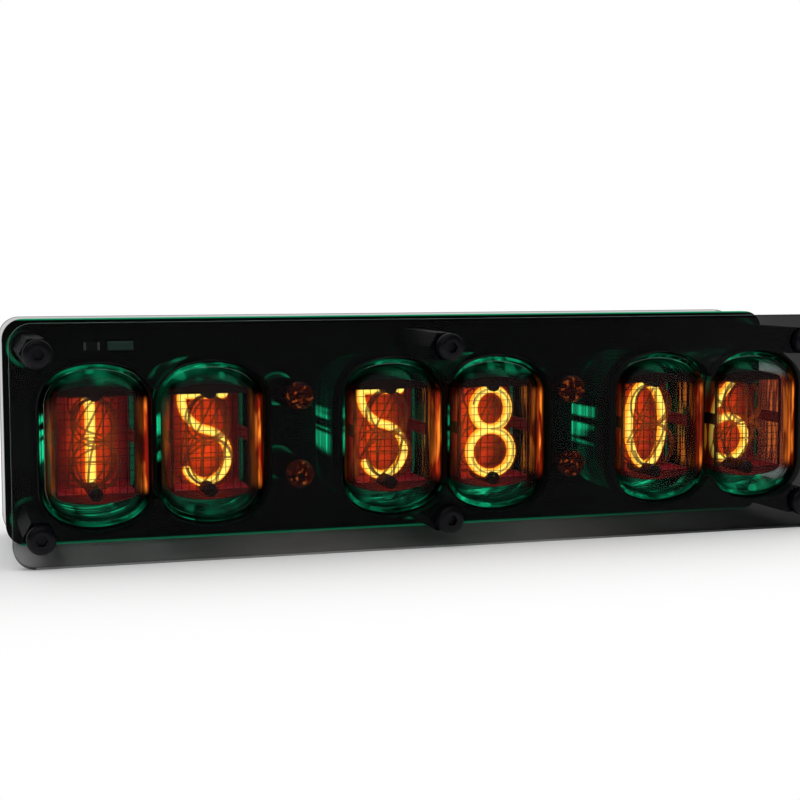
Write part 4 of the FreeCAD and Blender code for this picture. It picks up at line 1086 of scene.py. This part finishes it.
def tube_outline(number):
    """The glass wall's outline: the points that lie furthest out in each of many directions."""
    centre = tube_middle[number][[0, 2]]
    flat = points_of(f"tube_{number}_glass")[:, [0, 2]] - centre
    angle = np.linspace(0, math.tau, SHADE_RING_DIRECTIONS, endpoint=False)
    furthest = np.argmax(flat @ np.stack([np.cos(angle), np.sin(angle)]), axis=0)
    outer = np.unique(flat[furthest].round(6), axis=0)
    outer = outer[np.argsort(np.arctan2(outer[:, 1], outer[:, 0]))]
    loop = np.concatenate([outer, outer[:1]])
    run = np.concatenate([[0], np.cumsum(np.linalg.norm(np.diff(loop, axis=0), axis=1))])
    at = np.linspace(0, run[-1], SHADE_RING_POINTS)
    return np.stack([np.interp(at, run, loop[:, k]) for k in range(2)], axis=1) + centre


def shade_ring_shape(outline, toward_neighbour):
    """A flat ring: each point of the outline, and the same point moved outward along its own normal.

    The ring is narrow on the side of the neighbouring tube, where the two share one window.
    """
    loop, outward, _ = path_frame(outline)
    share = np.clip((outward[:, :1] * toward_neighbour - NECK_START) / NECK_FADE, 0, 1)
    width = SHADE_RING_WIDTH + (SHADE_RING_NECK - SHADE_RING_WIDTH) * share
    flat = np.stack([loop, loop + outward * width], axis=1)
    return upright(flat, SHADE_RING_DEPTH), strip_faces(len(loop), 2, True).tolist()


# painted shade: a dark ring put in the slit between each tube and its window
shade_ring_black = plain_finish("shade_ring_black", (2, 2, 2), (5, 5, 6), 1.5, 0.6, Specular_IOR_Level=0.1)
for number in TUBES:
    toward_neighbour = 1 if number % 2 else -1
    points, faces = shade_ring_shape(tube_outline(number), toward_neighbour)
    # each piece is a ring of painted shade
    make_piece(f"tube_{number}_shade_ring", points, faces, shade_ring_black)
print("shade_rings made from", SHADE_RING_POINTS, "points each")

# %% [markdown]
# ## Solder on the back of the board
#
# Every tube pin and lamp lead comes through the board and is soldered there. A fillet is a small cone with
# hollow sides. One profile of five rings, turned round each pin, is enough for something so small.

# %% Solder fillets
SOLDER_SIDES = 12
SOLDER_RINGS = 5
SOLDER_CURVE = 2.2
SOLDER_RISE = 0.8 * MM
SOLDER_LIFT = 0.02 * MM
TIP_LAYER = 0.01 * MM


def pin_centres(node, least):
    """Centres of the separate bars of a node, from its points near one plane, gathered by distance."""
    points = points_of(node)
    tips = points[points[:, 1] > points[:, 1].max() - TIP_LAYER][:, [0, 2]]
    centres = []
    while len(tips):
        near = np.linalg.norm(tips - tips[0], axis=1) < least
        low, high = tips[near].min(axis=0), tips[near].max(axis=0)
        centres.append((low + high) / 2)
        tips = tips[~near]
    return np.array(centres)


def solder_fillets(centres, foot, top):
    """Turned profile: radius = top + (foot - top) * (1 - height share) ** SOLDER_CURVE, at each centre."""
    share = np.linspace(0, 1, SOLDER_RINGS)
    radius = top + (foot - top) * (1 - share) ** SOLDER_CURVE
    angle = np.linspace(0, math.tau, SOLDER_SIDES, endpoint=False)
    ring = np.stack([np.cos(angle), np.sin(angle)], axis=1)
    flat = centres[:, None, None, :] + ring[None, None] * radius[None, :, None, None]
    height = board_high.y + SOLDER_LIFT + share * SOLDER_RISE
    side = grid_faces(SOLDER_RINGS, SOLDER_SIDES, False)
    foot_ring = np.arange(SOLDER_SIDES)
    top_ring = foot_ring + (SOLDER_RINGS - 1) * SOLDER_SIDES
    faces = []
    for start in range(0, len(centres) * SOLDER_RINGS * SOLDER_SIDES, SOLDER_RINGS * SOLDER_SIDES):
        faces += (side + start).tolist()
        faces += [(top_ring[::-1] + start).tolist(), (foot_ring + start).tolist()]
    return upright(flat, height[None, :, None]), faces


solder = plain_finish("solder", (150, 152, 154), (205, 206, 206), 2.5, 0.18, **METAL)
# node, distance within which points belong to one pin, radius at the foot and at the top
soldered = {
    "tube_pin_solder": ("tube_pins", 1.2 * MM, 1.05 * MM, 0.55 * MM),
    "lamp_lead_solder": ("lamp_electrodes", 0.8 * MM, 0.75 * MM, 0.28 * MM),
}
for name, (node, least, foot, top) in soldered.items():
    centres = pin_centres(node, least)
    points, faces = solder_fillets(centres, foot, top)
    make_piece(name, points, faces, solder)
    print("soldered", len(centres), "leads of", node)

# %% [markdown]
# ## Floor, light and camera
#
# The studio is plain: a pale floor, a white surround and two large soft lamps. Near the clock the floor keeps
# the shadow. Further off it fades into the surround's white, for the camera's own rays alone.

# %% Floor
FLOOR_HALF = 6.0
CLEAR_START = 0.015
CLEAR_END = 0.09


def floor_finish():
    """Near-white paint that keeps the clock's shadow, and fades into the white surround further off."""
    finish = Finish("studio_floor")
    x, y, z = finish.place()
    cloud = finish.noise(0.002, 1.0)
    paint = finish.coated(
        Base_Color=finish.blend(cloud, screen(246, 246, 246), screen(250, 250, 250)),
        Roughness=0.9,
        Specular_IOR_Level=0.1,
    )
    white = finish.node("ShaderNodeEmission", inputs={"Color": (1, 1, 1, 1), "Strength": 1.0})
    beyond = abs(x) - cover_high.x
    beyond = beyond.at_least(0.0)
    far = (beyond * beyond + y * y).root().step(CLEAR_START, CLEAR_END)
    return finish.surface(finish.mixed(far * finish.ray("Is Camera Ray"), paint, white))


def make_floor():
    corners = [(-1, -1), (1, -1), (1, 1), (-1, 1)]
    mesh = bpy.data.meshes.new("studio_floor")
    mesh.from_pydata([(x * FLOOR_HALF, y * FLOOR_HALF, 0.0) for x, y in corners], [], [(0, 1, 2, 3)])
    mesh.materials.append(floor_finish())
    floor = bpy.data.objects.new("studio_floor", mesh)
    bpy.context.scene.collection.objects.link(floor)


make_floor()
print("floor", 2 * FLOOR_HALF, "metres wide")

# %% [markdown]
# The camera sees the surround in full white. As light it is a little dimmer, so that the object isn't washed
# out. Mirrored and bent rays see it white only behind the clock, and as a dark card elsewhere: with white all
# round, its mirror image would veil the dark inside of the tubes.

# %% World
LIGHT_STRENGTH = 0.78
CARD_STRENGTH = 0.03
WHITE_START = 0.75
world = bpy.data.worlds.new("studio")
bpy.context.scene.world = world
world.use_nodes = True


class Surround(Finish):
    """The world's node tree, built with the same methods as a material."""

    def __init__(self, world):
        self.tree = world.node_tree
        self.tree.nodes.clear()

    def surface(self, shader):
        output = self.tree.nodes.new("ShaderNodeOutputWorld")
        self.tree.links.new(shader.socket, output.inputs["Surface"])


def studio_world():
    """White for the eye; for mirrored and bent rays white behind the clock and a dark card before it."""
    finish = Surround(world)
    direction = finish.node("ShaderNodeTexCoord", output="Generated")
    toward_back = finish.node("ShaderNodeSeparateXYZ", inputs={0: direction}, output=1)
    strengths = (1.0, CARD_STRENGTH, LIGHT_STRENGTH)
    colour = {"Color": (1, 1, 1, 1)}
    white, card, light = [
        finish.node("ShaderNodeBackground", inputs=colour | {"Strength": value}) for value in strengths
    ]
    shown = finish.mixed(toward_back.step(WHITE_START, 1.0), card, white)
    mirrored_or_bent = finish.ray("Is Glossy Ray").at_least(finish.ray("Is Transmission Ray"))
    lit = finish.mixed(mirrored_or_bent, light, shown)
    finish.surface(finish.mixed(finish.ray("Is Camera Ray"), lit, white))


studio_world()
print("surround: light", LIGHT_STRENGTH, "and card", CARD_STRENGTH)

# %% [markdown]
# Two large square lamps give soft shadows: one above and to the left, one behind and to the right.

# %% Lamps
def soft_lamp(name, place, target, size, power):
    """A square area lamp that faces a target point."""
    lamp = bpy.data.lights.new(name, "AREA")
    lamp.size = size
    lamp.energy = power
    holder = bpy.data.objects.new(name, lamp)
    holder.location = place
    direction = Vector(target) - Vector(place)
    holder.rotation_euler = direction.to_track_quat("-Z", "Y").to_euler()
    bpy.context.scene.collection.objects.link(holder)


clock_middle = (0.0, 0.0, float(plate_z))
soft_lamp("top_lamp", (-0.4, -0.15, 1.0), clock_middle, 1.3, 3.2)
soft_lamp("back_lamp", (0.5, 0.8, 0.7), clock_middle, 1.0, 2.2)
print("lamps:", [lamp.name for lamp in bpy.data.lights])

# %% [markdown]
# The camera stands where the photograph was taken from, a little to the left of the clock and just above it.
# Its place, turns in radians and lens come from fitting the clock's edges to that photograph.

# %% Camera
CAMERA_PLACE = (-0.09965, -0.31571, 0.05643)
CAMERA_TURN = 0.2954
CAMERA_DIP = 0.0856
CAMERA_ROLL = 0.0014
FOCAL_PIXELS = 1552.2
PHOTO_WIDTH = 800
lens = bpy.data.cameras.new("camera")
lens.sensor_width = 36.0
lens.lens = FOCAL_PIXELS / PHOTO_WIDTH * lens.sensor_width
lens.clip_start = 0.01
camera = bpy.data.objects.new("camera", lens)
camera.location = CAMERA_PLACE
camera.rotation_euler = (math.pi / 2 - CAMERA_DIP, CAMERA_ROLL, -CAMERA_TURN)
bpy.context.scene.collection.objects.link(camera)
bpy.context.scene.camera = camera
print("lens of", round(lens.lens, 1), "mm")

# %% [markdown]
# The Standard view transform shows the colours as they were set.

# %% View transform
bpy.context.scene.view_settings.view_transform = "Standard"
